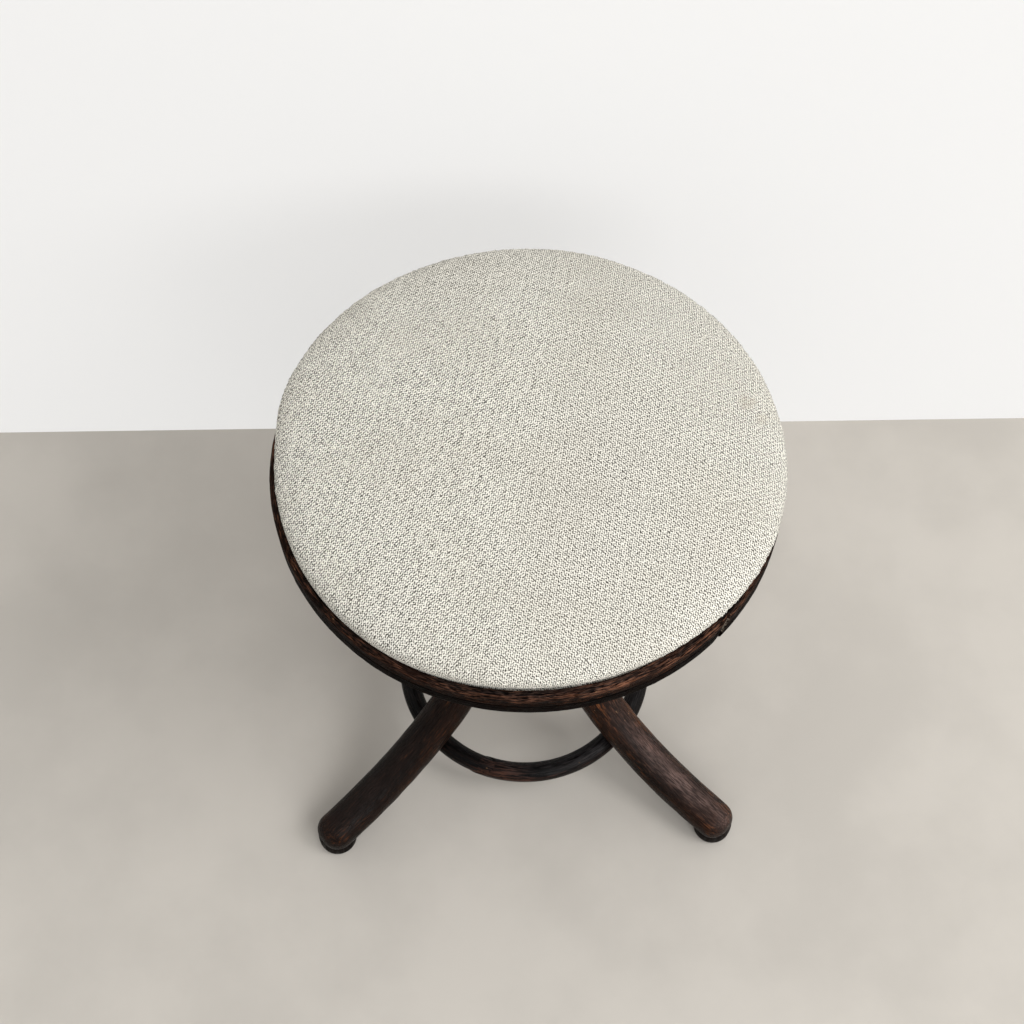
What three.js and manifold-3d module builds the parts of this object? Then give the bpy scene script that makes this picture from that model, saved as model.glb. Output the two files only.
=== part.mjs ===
// Revolving stool: an upholstered round seat on a screw spindle, carried by four bent legs and a brace ring.
// Units are millimetres, Z is up, the floor is Z = 0 and the screw's axis is X = Y = 0.
// The front is -Y. The seat is modelled wound right down, at the lower end of its travel.

import * as THREE from "three";
import { mergeVertices } from "three/addons/utils/BufferGeometryUtils.js";
import Module from "manifold-3d";

const wasm = await Module();
wasm.setup();

// Clearances
const fitGap = 0.3; // between pieces that touch
const runGap = 0.4; // round a part that turns or slides
const threadGap = 0.8; // between thread crests and the roots they run in
const threadSideGap = 0.35; // beside each thread ridge
const cutOverrun = 2; // how far a cutter runs past the face it opens

// Seat
const seatHeight = 445; // floor to the crown of the cushion
const cushionRise = 31; // crown above the rim
const cushionWidestRise = 10; // widest line of the cushion above the rim
const cushionBulge = 2.7; // widest line outside the seam
const crownPower = 2.5; // squareness of the dome: 2 is an ellipse
const coverThickness = 1.2;
const coverTail = 35; // cloth turned in under the board
const boardThickness = 8;
const rimRadius = 187.5;
const rimHeight = 26;
const rimWidth = 30;
const rimLip = 5; // wood left outside the rebate that takes the board
const rebateDepth = 8;
const rimGrooveDepth = 1.1;
const rimGrooveWidth = 1.8;
const rimGrooveShare = 0.5; // height of the groove, of the rim's height
const rimTopRound = 4.6;
const rimFootRound = 3;

// Cross rail that ties the rim to the screw
const railWidth = 100;
const railRaise = 2; // underside above the foot of the rim
const railHousing = 12.5; // how far each end is let into the rim

// Seat flange and its boss
const flangeRadius = 55;
const flangeEdge = 4; // thickness at the edge
const flangeThickness = 7; // thickness beside the boss
const bossRadius = 17;
const bossLength = 26;

// Screw spindle
const threadRadius = 11;
const threadDepth = 2.2;
const threadPitch = 8;
const threadCrest = 3; // width of a ridge along the axis
const threadFlank = 1; // run of each sloping side along the axis
const shankStep = 0.3; // plain shanks are turned this much smaller than the thread
const shankOverlap = 1; // how far a plain part runs on into the threaded one
const liftTurns = 12;

// Flanged nut and guide bush
const nutFlangeRadius = 33;
const nutFlangeThickness = 5;
const nutBarrelRadius = 17;
const nutBarrelLength = 34;
const nutThreadLength = 26;
const bushRadius = 17;
const bushLength = 20;
const bushFlangeRadius = 22;
const bushFlangeThickness = 3;

// Stop at the lower end of the spindle
const stopWasherRadius = 17;
const stopWasherThickness = 3;
const stopCollarRadius = 16;
const stopCollarHeight = 12;
const stopReserve = 0.5; // left under the bush with the seat at its highest
const pinRadius = 2.5;

// Turned hub
const hubRadius = 42;
const hubHeight = 108;
const hubBeadRadius = 30;
const hubBeadHeight = 8;
const hubNeckRadius = 27;
const hubCoveHeight = 14;
const hubEdgeRound = 4;
const hubBoreGap = 2; // round the thread

// Bent legs: a straight grip beside the hub, then one bend out to the foot
const legRadius = 17.25;
const legCircle = 54; // centre line of the grip from the screw's axis
const legTopDrop = 6; // top end below the top of the hub
const legTopRound = 6;
const legBendHeight = 166.3; // where the bend begins
const legBendPull = 68.3; // the bend's upper control point, below its start
const footPull = 89.5; // the bend's lower control point, back from the foot
const footSlope = THREE.MathUtils.degToRad(7);
const footCircle = 223.2; // the rear feet; the hand-bent front ones stand a little out or in from it
const frontLeftSplay = 2.8;
const frontRightSplay = -3.2;
const footAxisHeight = 21.5;
const footRound = 15.5;
const frontLeftAngle = THREE.MathUtils.degToRad(48.5); // each leg from the front or rear centre line
const frontRightAngle = THREE.MathUtils.degToRad(48.8);
const rearAngle = THREE.MathUtils.degToRad(49);

// Turned foot under each leg
const padRadius = 16.3;
const padHeight = 12; // edge of the cup that takes the leg's underside
const padSoleRadius = 12.5;
const padSwellHeight = 5; // widest line above the floor

// Brace ring
const ringRadius = 105.6;
const ringTubeRadius = 8.7;
const ringSeat = 1.2; // how deep the ring is let into each leg

// Screws: shank and head radii, head heights and lengths
const coachScrew = { shank: 3.5, head: 7, headHeight: 4, length: 48 };
const coachScrewSink = 2;
const ringScrew = { shank: 2.5, head: 5, headHeight: 3, length: 31 };
const ringScrewSink = 1;
const footScrew = { shank: 2.2, head: 4.4, headHeight: 2.6, length: 24 };
const footScrewSink = 1.5;
const plateScrew = { shank: 2.4, head: 4.8, headHeight: 2.8, length: 26 };
const flangeScrew = { shank: 2.4, head: 4.8, headHeight: 2.8, length: 17 };
const railScrew = { shank: 2.2, head: 4.4, headHeight: 2.6, length: 23 };
const rimScrew = { shank: 2.2, head: 4.4, headHeight: 2.6, length: 25 };
const screwPoint = 3; // length of the tapered point

// Counts
const roundSides = 24; // round turned pieces
const seatSides = 48; // rim, board and cushion
const legSides = 14;
const footSides = 20;
const bendSteps = 11;
const endSteps = 2; // rounded ends of a leg
const ringSteps = 40;
const ringSides = 10;
const screwSides = 6;
const threadSides = 10;
const crownSteps = 6;
const rimScrewCount = 6;

// Heights that follow
const rimTop = seatHeight - cushionRise;
const rimFoot = rimTop - rimHeight;
const rebateFloor = rimTop - rebateDepth;
const railFoot = rimFoot + railRaise;
const flangeTop = railFoot - fitGap;
const flangeFoot = flangeTop - flangeThickness;
const bossFoot = flangeFoot - (bossLength - flangeThickness);
const nutTop = bossFoot - fitGap;
const hubTop = nutTop - nutFlangeThickness - fitGap;
const hubFoot = hubTop - hubHeight;
const bushFoot = hubFoot - fitGap - bushFlangeThickness;
const travel = liftTurns * threadPitch;
const nutThreadFoot = nutTop - nutThreadLength;
const threadFoot = nutThreadFoot - travel - threadPitch / 2;
const washerTop = bushFoot - travel - stopReserve;
const washerFoot = washerTop - stopWasherThickness;
const collarTop = washerFoot - fitGap;
const collarFoot = collarTop - stopCollarHeight;
const legTop = hubTop - legTopDrop;
const gripFoot = hubFoot + hubBeadHeight + hubCoveHeight;

// Radii that follow
const rootRadius = threadRadius - threadDepth;
const shankRadius = rootRadius - shankStep;
const guideRadius = threadRadius - shankStep;
const rimInner = rimRadius - rimWidth;
const rebateRadius = rimRadius - rimLip;
const seamRadius = rebateRadius - fitGap;
const widestRadius = seamRadius + cushionBulge;
const boardRadius = seamRadius - coverThickness - fitGap;

// Seat layers that follow
const tailFoot = rebateFloor + fitGap;
const tailTop = tailFoot + coverThickness;
const tailInner = seamRadius - coverTail;
const boardFoot = tailTop + fitGap;
const boardTop = boardFoot + boardThickness;

const legPlaces = {
  front_left: { azimuth: -Math.PI / 2 - frontLeftAngle, reach: footCircle + frontLeftSplay },
  front_right: { azimuth: -Math.PI / 2 + frontRightAngle, reach: footCircle + frontRightSplay },
  rear_right: { azimuth: Math.PI / 2 - rearAngle, reach: footCircle },
  rear_left: { azimuth: Math.PI / 2 + rearAngle, reach: footCircle },
};

// Finishes, as seen: dark stained beech, near-black ring, greige cloth, worn iron
const finishes = {
  stainedWood: { color: 0x33201a, roughness: 0.42, metalness: 0 },
  blackWood: { color: 0x17110f, roughness: 0.4, metalness: 0 },
  rawWood: { color: 0xa27d55, roughness: 0.7, metalness: 0 },
  cloth: { color: 0xbcb8ab, roughness: 0.95, metalness: 0 },
  padding: { color: 0xd8cfae, roughness: 1, metalness: 0 },
  castIron: { color: 0x2b2b2c, roughness: 0.55, metalness: 0.8 },
  steel: { color: 0x8b8b88, roughness: 0.35, metalness: 1 },
  brass: { color: 0x9b7a3d, roughness: 0.4, metalness: 1 },
};

const point = (radius, height) => new THREE.Vector2(radius, height);
const up = new THREE.Vector3(0, 0, 1);

// A closed solid from a geometry: shared points merged, flat slivers dropped, faces turned outwards
function solid(geometry) {
  const bare = geometry.index ? geometry.toNonIndexed() : geometry.clone();
  bare.deleteAttribute("normal");
  bare.deleteAttribute("uv");
  const merged = mergeVertices(bare);
  const corners = merged.index.array;
  const kept = [];
  for (let i = 0; i < corners.length; i += 3) {
    const [a, b, c] = [corners[i], corners[i + 1], corners[i + 2]];
    if (a !== b && b !== c && c !== a) kept.push(a, b, c);
  }
  const vertProperties = merged.attributes.position.array;
  if (signedVolume(vertProperties, kept) < 0) kept.reverse();
  return new wasm.Manifold(new wasm.Mesh({ numProp: 3, vertProperties, triVerts: new Uint32Array(kept) }));
}

function signedVolume(places, corners) {
  const [a, b, c] = [new THREE.Vector3(), new THREE.Vector3(), new THREE.Vector3()];
  let sum = 0;
  for (let i = 0; i < corners.length; i += 3) {
    a.fromArray(places, 3 * corners[i]);
    b.fromArray(places, 3 * corners[i + 1]);
    c.fromArray(places, 3 * corners[i + 2]);
    sum += a.dot(b.cross(c));
  }
  return sum;
}

// A profile of radius and height turned about Z
function turned(profile, sides = roundSides) {
  return solid(new THREE.LatheGeometry(profile, sides).rotateX(Math.PI / 2));
}

// A round bar between two heights on the Z axis
function bar(radius, foot, top, sides = roundSides) {
  return turned([point(0, foot), point(radius, foot), point(radius, top), point(0, top)], sides);
}

function placedBox(width, depth, foot, top) {
  const middle = (foot + top) / 2;
  return solid(new THREE.BoxGeometry(width, depth, top - foot).translate(0, 0, middle));
}

// Turns a solid made along +Z to point along a direction, and moves it
function aimed(shape, place, direction) {
  const turn = new THREE.Quaternion().setFromUnitVectors(up, direction.clone().normalize());
  const matrix = new THREE.Matrix4().compose(place, turn, new THREE.Vector3(1, 1, 1));
  return shape.transform(matrix.elements);
}

const spunAbout = (shape, angle) => shape.rotate([0, 0, THREE.MathUtils.radToDeg(angle)]);
const joined = (shapes) => shapes.reduce((whole, shape) => whole.add(shape));
const without = (shape, cutters) => cutters.reduce((whole, cutter) => whole.subtract(cutter), shape);

function polar(radius, angle, height) {
  return new THREE.Vector3(radius * Math.cos(angle), radius * Math.sin(angle), height);
}

// Countersunk screw along Z, its flat face at Z = 0 and its point below; grow makes its hole
function sunkScrew(size, grow = 0) {
  const open = grow > 0 ? cutOverrun : 0;
  return turned([
    point(0, open),
    point(size.head + grow, open),
    point(size.head + grow, -grow),
    point(size.shank + grow, -size.headHeight - grow),
    point(size.shank + grow, screwPoint - size.length),
    point(0, -size.length - grow),
  ], screwSides);
}

// Domed screw along Z, the underside of its head at Z = 0; grow makes its hole and the head's seat
function domedScrew(size, grow = 0) {
  const shoulder = size.headHeight / 2;
  const head = grow > 0
    ? [point(0, size.headHeight + cutOverrun), point(size.head + grow, size.headHeight + cutOverrun)]
    : [point(0, size.headHeight), point(size.head / 2, size.headHeight - shoulder / 3), point(size.head, shoulder)];
  return turned([
    ...head,
    point(size.head + grow, -grow),
    point(size.shank + grow, -grow),
    point(size.shank + grow, screwPoint - size.length),
    point(0, -size.length - grow),
  ], screwSides);
}

// A leg's bend in the plane of radius (X) and height (Z), out to a foot at that reach
function bendTo(reach) {
  const bendEnd = new THREE.Vector3(reach, 0, footAxisHeight);
  const footBack = new THREE.Vector3(-Math.cos(footSlope), 0, Math.sin(footSlope));
  return new THREE.CubicBezierCurve3(
    new THREE.Vector3(legCircle, 0, legBendHeight),
    new THREE.Vector3(legCircle, 0, legBendHeight - legBendPull),
    bendEnd.clone().addScaledVector(footBack, footPull),
    bendEnd,
  );
}

// Rings of points along the leg: a rounded top, the straight grip, the bend and a rounded tip
function legRings(grow, reach = footCircle) {
  const legBend = bendTo(reach);
  const rings = [];
  const addEnd = (centre, along, round, opening) => {
    for (let i = 0; i <= endSteps; i += 1) {
      const share = opening ? endSteps - i : i;
      const angle = (share / (endSteps + 0.5)) * (Math.PI / 2);
      const radius = legRadius - round + round * Math.cos(angle) + grow;
      const shift = (opening ? -1 : 1) * round * Math.sin(angle);
      rings.push({ centre: centre.clone().addScaledVector(along, shift), along, radius });
    }
  };
  const down = new THREE.Vector3(0, 0, -1);
  addEnd(new THREE.Vector3(legCircle, 0, legTop - legTopRound), down, legTopRound, true);
  for (let i = 0; i < bendSteps; i += 1) {
    const share = i / bendSteps;
    rings.push({ centre: legBend.getPointAt(share), along: legBend.getTangentAt(share), radius: legRadius + grow });
  }
  const footDirection = legBend.getTangentAt(1);
  addEnd(legBend.v3, footDirection, footRound, false);
  return rings;
}

// One closed skin over rings of points that lie square to a line in the XZ plane
function skinOver(rings, sides) {
  const across = new THREE.Vector3(0, 1, 0);
  const places = [];
  const corners = [];
  const end = (ring) => places.push(...ring.centre.toArray());
  end(rings[0]);
  for (const ring of rings) {
    const outward = new THREE.Vector3().crossVectors(across, ring.along);
    for (let side = 0; side < sides; side += 1) {
      const angle = (2 * Math.PI * side) / sides;
      const spot = ring.centre.clone();
      spot.addScaledVector(outward, ring.radius * Math.cos(angle));
      spot.addScaledVector(across, ring.radius * Math.sin(angle));
      places.push(...spot.toArray());
    }
  }
  end(rings[rings.length - 1]);
  const last = rings.length * sides + 1;
  const at = (ring, side) => 1 + ring * sides + (side % sides);
  for (let side = 0; side < sides; side += 1) {
    corners.push(0, at(0, side), at(0, side + 1));
    for (let ring = 0; ring < rings.length - 1; ring += 1) {
      corners.push(at(ring, side), at(ring + 1, side), at(ring + 1, side + 1));
      corners.push(at(ring, side), at(ring + 1, side + 1), at(ring, side + 1));
    }
    corners.push(last, at(rings.length - 1, side + 1), at(rings.length - 1, side));
  }
  return closedSkin(places, corners);
}

function closedSkin(places, corners) {
  const geometry = new THREE.BufferGeometry();
  geometry.setAttribute("position", new THREE.Float32BufferAttribute(places, 3));
  geometry.setIndex(corners);
  return solid(geometry);
}

// A right-hand thread: rows of points climb one pitch in each turn, then both ends are cut square
function threadedBar(crestRadius, rootRadius, crestWidth, foot, top) {
  const halfCrest = crestWidth / 2;
  const rowsPerTurn = [
    { radius: crestRadius, rise: -halfCrest },
    { radius: crestRadius, rise: halfCrest },
    { radius: rootRadius, rise: halfCrest + threadFlank },
    { radius: rootRadius, rise: threadPitch - halfCrest - threadFlank },
  ];
  const firstTurn = Math.floor(foot / threadPitch) - 2;
  const turnCount = Math.ceil(top / threadPitch) + 2 - firstTurn;
  const rowCount = turnCount * rowsPerTurn.length;
  const places = [];
  for (let side = 0; side < threadSides; side += 1) {
    const angle = (2 * Math.PI * side) / threadSides - Math.PI / 2;
    for (let row = 0; row < rowCount; row += 1) {
      const { radius, rise } = rowsPerTurn[row % rowsPerTurn.length];
      const turn = firstTurn + Math.floor(row / rowsPerTurn.length) + side / threadSides;
      places.push(radius * Math.cos(angle), radius * Math.sin(angle), turn * threadPitch + rise);
    }
  }
  const at = (side, row) => (side < threadSides ? side * rowCount + row : row + rowsPerTurn.length);
  const corners = [];
  for (let side = 0; side < threadSides; side += 1) {
    const rows = side === threadSides - 1 ? rowCount - rowsPerTurn.length : rowCount;
    for (let row = 0; row < rows - 1; row += 1) {
      corners.push(at(side, row), at(side + 1, row), at(side + 1, row + 1));
      corners.push(at(side, row), at(side + 1, row + 1), at(side, row + 1));
    }
  }
  closeThreadEnds(places, corners, rowCount, rowsPerTurn.length, firstTurn, turnCount);
  const clip = bar(crestRadius + cutOverrun, foot, top, roundSides);
  return closedSkin(places, corners).intersect(clip);
}

// Fans from a point on the axis over each ragged end of the thread
function closeThreadEnds(places, corners, rowCount, perTurn, firstTurn, turnCount) {
  const lower = [];
  const upper = [];
  for (let side = 0; side < threadSides; side += 1) {
    lower.push(side * rowCount);
    upper.push(side * rowCount + rowCount - 1);
  }
  for (let row = perTurn; row > 0; row -= 1) lower.push(row);
  const lastSide = (threadSides - 1) * rowCount;
  for (let row = rowCount - 2; row >= rowCount - 1 - perTurn; row -= 1) upper.push(lastSide + row);
  const lowerTip = places.length / 3;
  places.push(0, 0, (firstTurn - 1) * threadPitch);
  const upperTip = lowerTip + 1;
  places.push(0, 0, (firstTurn + turnCount + 2) * threadPitch);
  lower.forEach((spot, i) => corners.push(lowerTip, lower[(i + 1) % lower.length], spot));
  upper.forEach((spot, i) => corners.push(upperTip, spot, upper[(i + 1) % upper.length]));
}

// The bend's nearest point to a place in its own plane
function nearestOnBend(place) {
  const samples = 400;
  const legBend = bendTo(footCircle);
  let nearest = legBend.getPoint(0);
  for (let i = 1; i <= samples; i += 1) {
    const spot = legBend.getPoint(i / samples);
    if (spot.distanceTo(place) < nearest.distanceTo(place)) nearest = spot;
  }
  return nearest;
}

// The ring's height: it is pushed up under the legs until it is let in by its seat's depth
function contactHeight() {
  const reach = legRadius + ringTubeRadius - ringSeat;
  let low = 0;
  let high = legBendHeight;
  const halvings = 40;
  for (let i = 0; i < halvings; i += 1) {
    const middle = (low + high) / 2;
    const place = new THREE.Vector3(ringRadius, 0, middle);
    const nearest = nearestOnBend(place);
    if (nearest.z > middle && nearest.distanceTo(place) > reach) low = middle;
    else high = middle;
  }
  return low;
}

const ringHeight = contactHeight();
const ringCentre = new THREE.Vector3(ringRadius, 0, ringHeight);
const ringToLeg = nearestOnBend(ringCentre).sub(ringCentre).normalize();

function ringTorus(grow = 0) {
  const torus = new THREE.TorusGeometry(ringRadius, ringTubeRadius + grow, ringSides, ringSteps);
  return solid(torus).translate([0, 0, ringHeight]);
}

// Fastener patterns. Each takes grow: zero gives the screws, a gap gives their holes.
function coachScrews(grow = 0) {
  const heightShares = [0.2, 0.8];
  const seat = legCircle + legRadius - coachScrewSink;
  return heightShares.map((share) => {
    const height = THREE.MathUtils.lerp(gripFoot, hubTop, share);
    return aimed(domedScrew(coachScrew, grow), new THREE.Vector3(seat, 0, height), new THREE.Vector3(1, 0, 0));
  });
}

function ringScrewInPlane(grow = 0) {
  const head = ringCentre.clone().addScaledVector(ringToLeg, ringScrewSink - ringTubeRadius);
  return aimed(sunkScrew(ringScrew, grow), head, ringToLeg.clone().negate());
}

function footScrewInPlane(reach, grow = 0) {
  const head = new THREE.Vector3(reach, 0, footScrewSink);
  return aimed(sunkScrew(footScrew, grow), head, new THREE.Vector3(0, 0, -1));
}

const atEachLeg = (shape) => Object.values(legPlaces).map(({ azimuth }) => spunAbout(shape, azimuth));

function plateScrews(grow = 0) {
  const circle = (nutFlangeRadius + nutBarrelRadius) / 2;
  const quarters = 4;
  return Array.from({ length: quarters }, (_, i) => {
    const angle = (2 * Math.PI * i) / quarters;
    return aimed(sunkScrew(plateScrew, grow), polar(circle, angle, nutTop), up);
  });
}

function flangeScrews(grow = 0) {
  const circle = flangeRadius - 2 * flangeScrew.head;
  const quarters = 4;
  return Array.from({ length: quarters }, (_, i) => {
    const angle = (2 * Math.PI * i) / quarters;
    const place = polar(circle, angle, flangeTop - flangeEdge);
    return aimed(sunkScrew(flangeScrew, grow), place, up.clone().negate());
  });
}

function railScrews(grow = 0) {
  const reachShare = 0.7; // of the rim's inner radius
  const sideShare = 0.3; // of the rail's width
  const spots = [[1, 1], [1, -1], [-1, 1], [-1, -1]];
  return spots.map(([x, y]) => {
    const place = new THREE.Vector3(x * reachShare * rimInner, y * sideShare * railWidth, railFoot);
    return aimed(sunkScrew(railScrew, grow), place, up.clone().negate());
  });
}

function rimScrews(grow = 0) {
  const circle = (rimInner + rebateRadius) / 2;
  return Array.from({ length: rimScrewCount }, (_, i) => {
    const angle = (2 * Math.PI * (i + 0.5)) / rimScrewCount;
    return aimed(sunkScrew(rimScrew, grow), polar(circle, angle, rimFoot), up.clone().negate());
  });
}

// Base pieces
function leg(azimuth, reach) {
  const cutters = [
    spunAbout(ringTorus(fitGap), -azimuth),
    ringScrewInPlane(fitGap),
    footScrewInPlane(reach, fitGap),
    ...coachScrews(fitGap),
  ];
  return without(skinOver(legRings(0, reach), legSides), cutters);
}

// A bun foot, cupped on top to take the leg's underside
function foot(reach) {
  const soleRise = padSwellHeight * (1 - Math.SQRT1_2);
  const profile = [
    point(0, 0),
    point(padSoleRadius, 0),
    point(THREE.MathUtils.lerp(padSoleRadius, padRadius, Math.SQRT1_2), soleRise),
    point(padRadius, padSwellHeight),
    point(padRadius, (padSwellHeight + padHeight) / 2),
    point(padRadius - (padHeight - padSwellHeight) / 8, padHeight),
    point(0, padHeight),
  ];
  const bun = turned(profile, footSides).translate([reach, 0, 0]);
  return without(bun, [skinOver(legRings(fitGap, reach), legSides), footScrewInPlane(reach, fitGap)]);
}

function hub() {
  const beadEdge = hubBeadRadius - hubNeckRadius;
  const profile = [
    point(0, hubFoot),
    point(hubNeckRadius, hubFoot),
    point(hubBeadRadius, hubFoot + beadEdge),
    point(hubBeadRadius, hubFoot + hubBeadHeight - beadEdge),
    point(hubNeckRadius, hubFoot + hubBeadHeight),
  ];
  const coveSteps = 3;
  for (let i = 1; i <= coveSteps; i += 1) {
    const angle = (i / coveSteps) * (Math.PI / 2);
    profile.push(point(
      hubRadius - (hubRadius - hubNeckRadius) * Math.cos(angle),
      hubFoot + hubBeadHeight + hubCoveHeight * Math.sin(angle),
    ));
  }
  profile.push(point(hubRadius, hubTop - hubEdgeRound));
  profile.push(point(hubRadius - hubEdgeRound * (1 - Math.SQRT1_2), hubTop - hubEdgeRound * (1 - Math.SQRT1_2)));
  profile.push(point(hubRadius - hubEdgeRound, hubTop), point(0, hubTop));
  return without(turned(profile), [
    bar(threadRadius + hubBoreGap, hubFoot - cutOverrun, hubTop + cutOverrun),
    bar(nutBarrelRadius + fitGap, hubTop - nutBarrelLength - fitGap, hubTop + cutOverrun),
    bar(bushRadius + fitGap, hubFoot - cutOverrun, hubFoot + bushLength + fitGap),
    ...atEachLeg(skinOver(legRings(fitGap), legSides)),
    ...atEachLeg(joined(coachScrews(fitGap))),
    ...plateScrews(fitGap),
  ]);
}

function spindleNut() {
  const body = turned([
    point(0, hubTop - nutBarrelLength),
    point(nutBarrelRadius, hubTop - nutBarrelLength),
    point(nutBarrelRadius, hubTop + fitGap),
    point(nutFlangeRadius, hubTop + fitGap),
    point(nutFlangeRadius, nutTop - nutFlangeThickness / 3),
    point(nutFlangeRadius - nutFlangeThickness / 3, nutTop),
    point(0, nutTop),
  ]);
  const thread = threadedBar(
    threadRadius + threadGap,
    rootRadius + threadGap,
    threadCrest + 2 * threadSideGap,
    nutThreadFoot - cutOverrun,
    nutTop + cutOverrun,
  );
  const relief = bar(threadRadius + threadGap, hubTop - nutBarrelLength - cutOverrun, nutThreadFoot);
  return without(body, [thread, relief, ...plateScrews(fitGap)]);
}

function guideBush() {
  const body = turned([
    point(0, bushFoot),
    point(bushFlangeRadius - bushFlangeThickness / 3, bushFoot),
    point(bushFlangeRadius, bushFoot + bushFlangeThickness / 3),
    point(bushFlangeRadius, hubFoot - fitGap),
    point(bushRadius, hubFoot - fitGap),
    point(bushRadius, hubFoot + bushLength),
    point(0, hubFoot + bushLength),
  ]);
  return body.subtract(bar(threadRadius + runGap, bushFoot - cutOverrun, hubFoot + bushLength + cutOverrun));
}

function braceRing() {
  return without(ringTorus(), atEachLeg(ringScrewInPlane(fitGap)));
}

// Seat pieces that turn with the screw
function crossPin(height, length, grow = 0) {
  const half = length / 2 + (grow > 0 ? cutOverrun : 0);
  return aimed(bar(pinRadius + grow, -half, half, screwSides), new THREE.Vector3(0, 0, height), new THREE.Vector3(0, 1, 0));
}

const bossPinHeight = (bossFoot + flangeFoot) / 2;
const collarPinHeight = (collarFoot + collarTop) / 2;
const spindleTop = flangeTop - fitGap;
const spindleFoot = collarFoot - pinRadius;

function spindle() {
  const thread = threadedBar(threadRadius, rootRadius, threadCrest, threadFoot, nutTop);
  const upperShank = bar(shankRadius, nutTop - shankOverlap, spindleTop, threadSides);
  const guide = turned([
    point(0, spindleFoot),
    point(shankRadius - pinRadius / 2, spindleFoot),
    point(shankRadius, spindleFoot + pinRadius / 2),
    point(shankRadius, washerFoot),
    point(guideRadius, washerFoot),
    point(guideRadius, threadFoot + shankOverlap),
    point(0, threadFoot + shankOverlap),
  ], threadSides * 2);
  const pins = [crossPin(bossPinHeight, 2 * bossRadius, fitGap), crossPin(collarPinHeight, 2 * stopCollarRadius, fitGap)];
  return without(joined([thread, upperShank, guide]), pins);
}

function stopWasher() {
  const ring = bar(stopWasherRadius, washerFoot, washerTop);
  return ring.subtract(bar(threadRadius + runGap, washerFoot - cutOverrun, washerTop + cutOverrun));
}

function stopCollar() {
  const edge = stopCollarHeight / 8;
  const body = turned([
    point(0, collarFoot),
    point(stopCollarRadius - edge, collarFoot),
    point(stopCollarRadius, collarFoot + edge),
    point(stopCollarRadius, collarTop - edge),
    point(stopCollarRadius - edge, collarTop),
    point(0, collarTop),
  ]);
  return without(body, [
    bar(shankRadius + fitGap, collarFoot - cutOverrun, collarTop + cutOverrun, threadSides * 2),
    crossPin(collarPinHeight, 2 * stopCollarRadius, fitGap),
  ]);
}

function seatFlange() {
  const neck = bossRadius + flangeThickness;
  const body = turned([
    point(0, bossFoot),
    point(bossRadius, bossFoot),
    point(bossRadius, flangeFoot - flangeThickness / 2),
    point(neck, flangeFoot),
    point(flangeRadius, flangeTop - flangeEdge),
    point(flangeRadius, flangeTop),
    point(0, flangeTop),
  ]);
  return without(body, [
    bar(shankRadius + fitGap, bossFoot - cutOverrun, flangeTop + cutOverrun, threadSides),
    crossPin(bossPinHeight, 2 * bossRadius, fitGap),
    ...flangeScrews(fitGap),
  ]);
}

function seatRail() {
  const reach = rimInner + railHousing - fitGap;
  const plank = placedBox(2 * rimRadius, railWidth, railFoot, rebateFloor);
  const ends = bar(reach, railFoot - cutOverrun, rebateFloor + cutOverrun, seatSides);
  return without(plank.intersect(ends), [...flangeScrews(fitGap), ...railScrews(fitGap)]);
}

// The rim is bent in two halves, front and rear, which meet over the ends of the rail
function seatRimHalf(side) {
  const grooveHeight = rimFoot + rimGrooveShare * rimHeight;
  const halfGroove = rimGrooveWidth / 2;
  const profile = [point(rimInner, rimFoot), point(rimRadius - rimFootRound, rimFoot)];
  profile.push(point(rimRadius - rimFootRound * (1 - Math.SQRT1_2), rimFoot + rimFootRound * (1 - Math.SQRT1_2)));
  profile.push(point(rimRadius, rimFoot + rimFootRound));
  profile.push(point(rimRadius, grooveHeight - halfGroove));
  profile.push(point(rimRadius - rimGrooveDepth, grooveHeight));
  profile.push(point(rimRadius, grooveHeight + halfGroove));
  const roundSteps = 3;
  for (let i = 0; i <= roundSteps; i += 1) {
    const angle = (i / roundSteps) * (Math.PI / 2);
    profile.push(point(
      rimRadius - rimTopRound * (1 - Math.cos(angle)),
      rimTop - rimTopRound * (1 - Math.sin(angle)),
    ));
  }
  profile.push(point(rebateRadius, rimTop), point(rebateRadius, rebateFloor), point(rimInner, rebateFloor));
  profile.push(profile[0]);
  const housingReach = rimInner + railHousing;
  const housing = placedBox(2 * rimRadius, railWidth + 2 * fitGap, rimFoot - cutOverrun, rebateFloor + cutOverrun);
  const limit = bar(housingReach, rimFoot - 2 * cutOverrun, rebateFloor + 2 * cutOverrun, seatSides);
  const whole = without(turned(profile, seatSides), [housing.intersect(limit), ...rimScrews(fitGap)]);
  const span = 2 * (rimRadius + cutOverrun);
  const otherHalf = placedBox(span, span, rimFoot - cutOverrun, rimTop + cutOverrun);
  return whole.subtract(otherHalf.translate([0, side * (fitGap - span) / 2, 0]));
}

function seatBoard() {
  const board = bar(boardRadius, boardFoot, boardTop, seatSides);
  return without(board, [...railScrews(fitGap), ...rimScrews(fitGap)]);
}

// The dome from its widest line to the crown, drawn in by inset
function crownProfile(inset) {
  const rise = cushionRise - cushionWidestRise - inset;
  const profile = [];
  for (let i = 0; i <= crownSteps; i += 1) {
    const angle = (i / crownSteps) * (Math.PI / 2);
    const cosine = i === crownSteps ? 0 : Math.cos(angle);
    profile.push(point(
      (widestRadius - inset) * cosine ** (2 / crownPower),
      rimTop + cushionWidestRise + rise * Math.sin(angle) ** (2 / crownPower),
    ));
  }
  return profile;
}

function seatPad() {
  const inset = coverThickness + fitGap;
  const profile = [
    point(0, boardTop + fitGap),
    point(boardRadius, boardTop + fitGap),
    ...crownProfile(inset),
  ];
  return turned(profile, seatSides);
}

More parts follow.
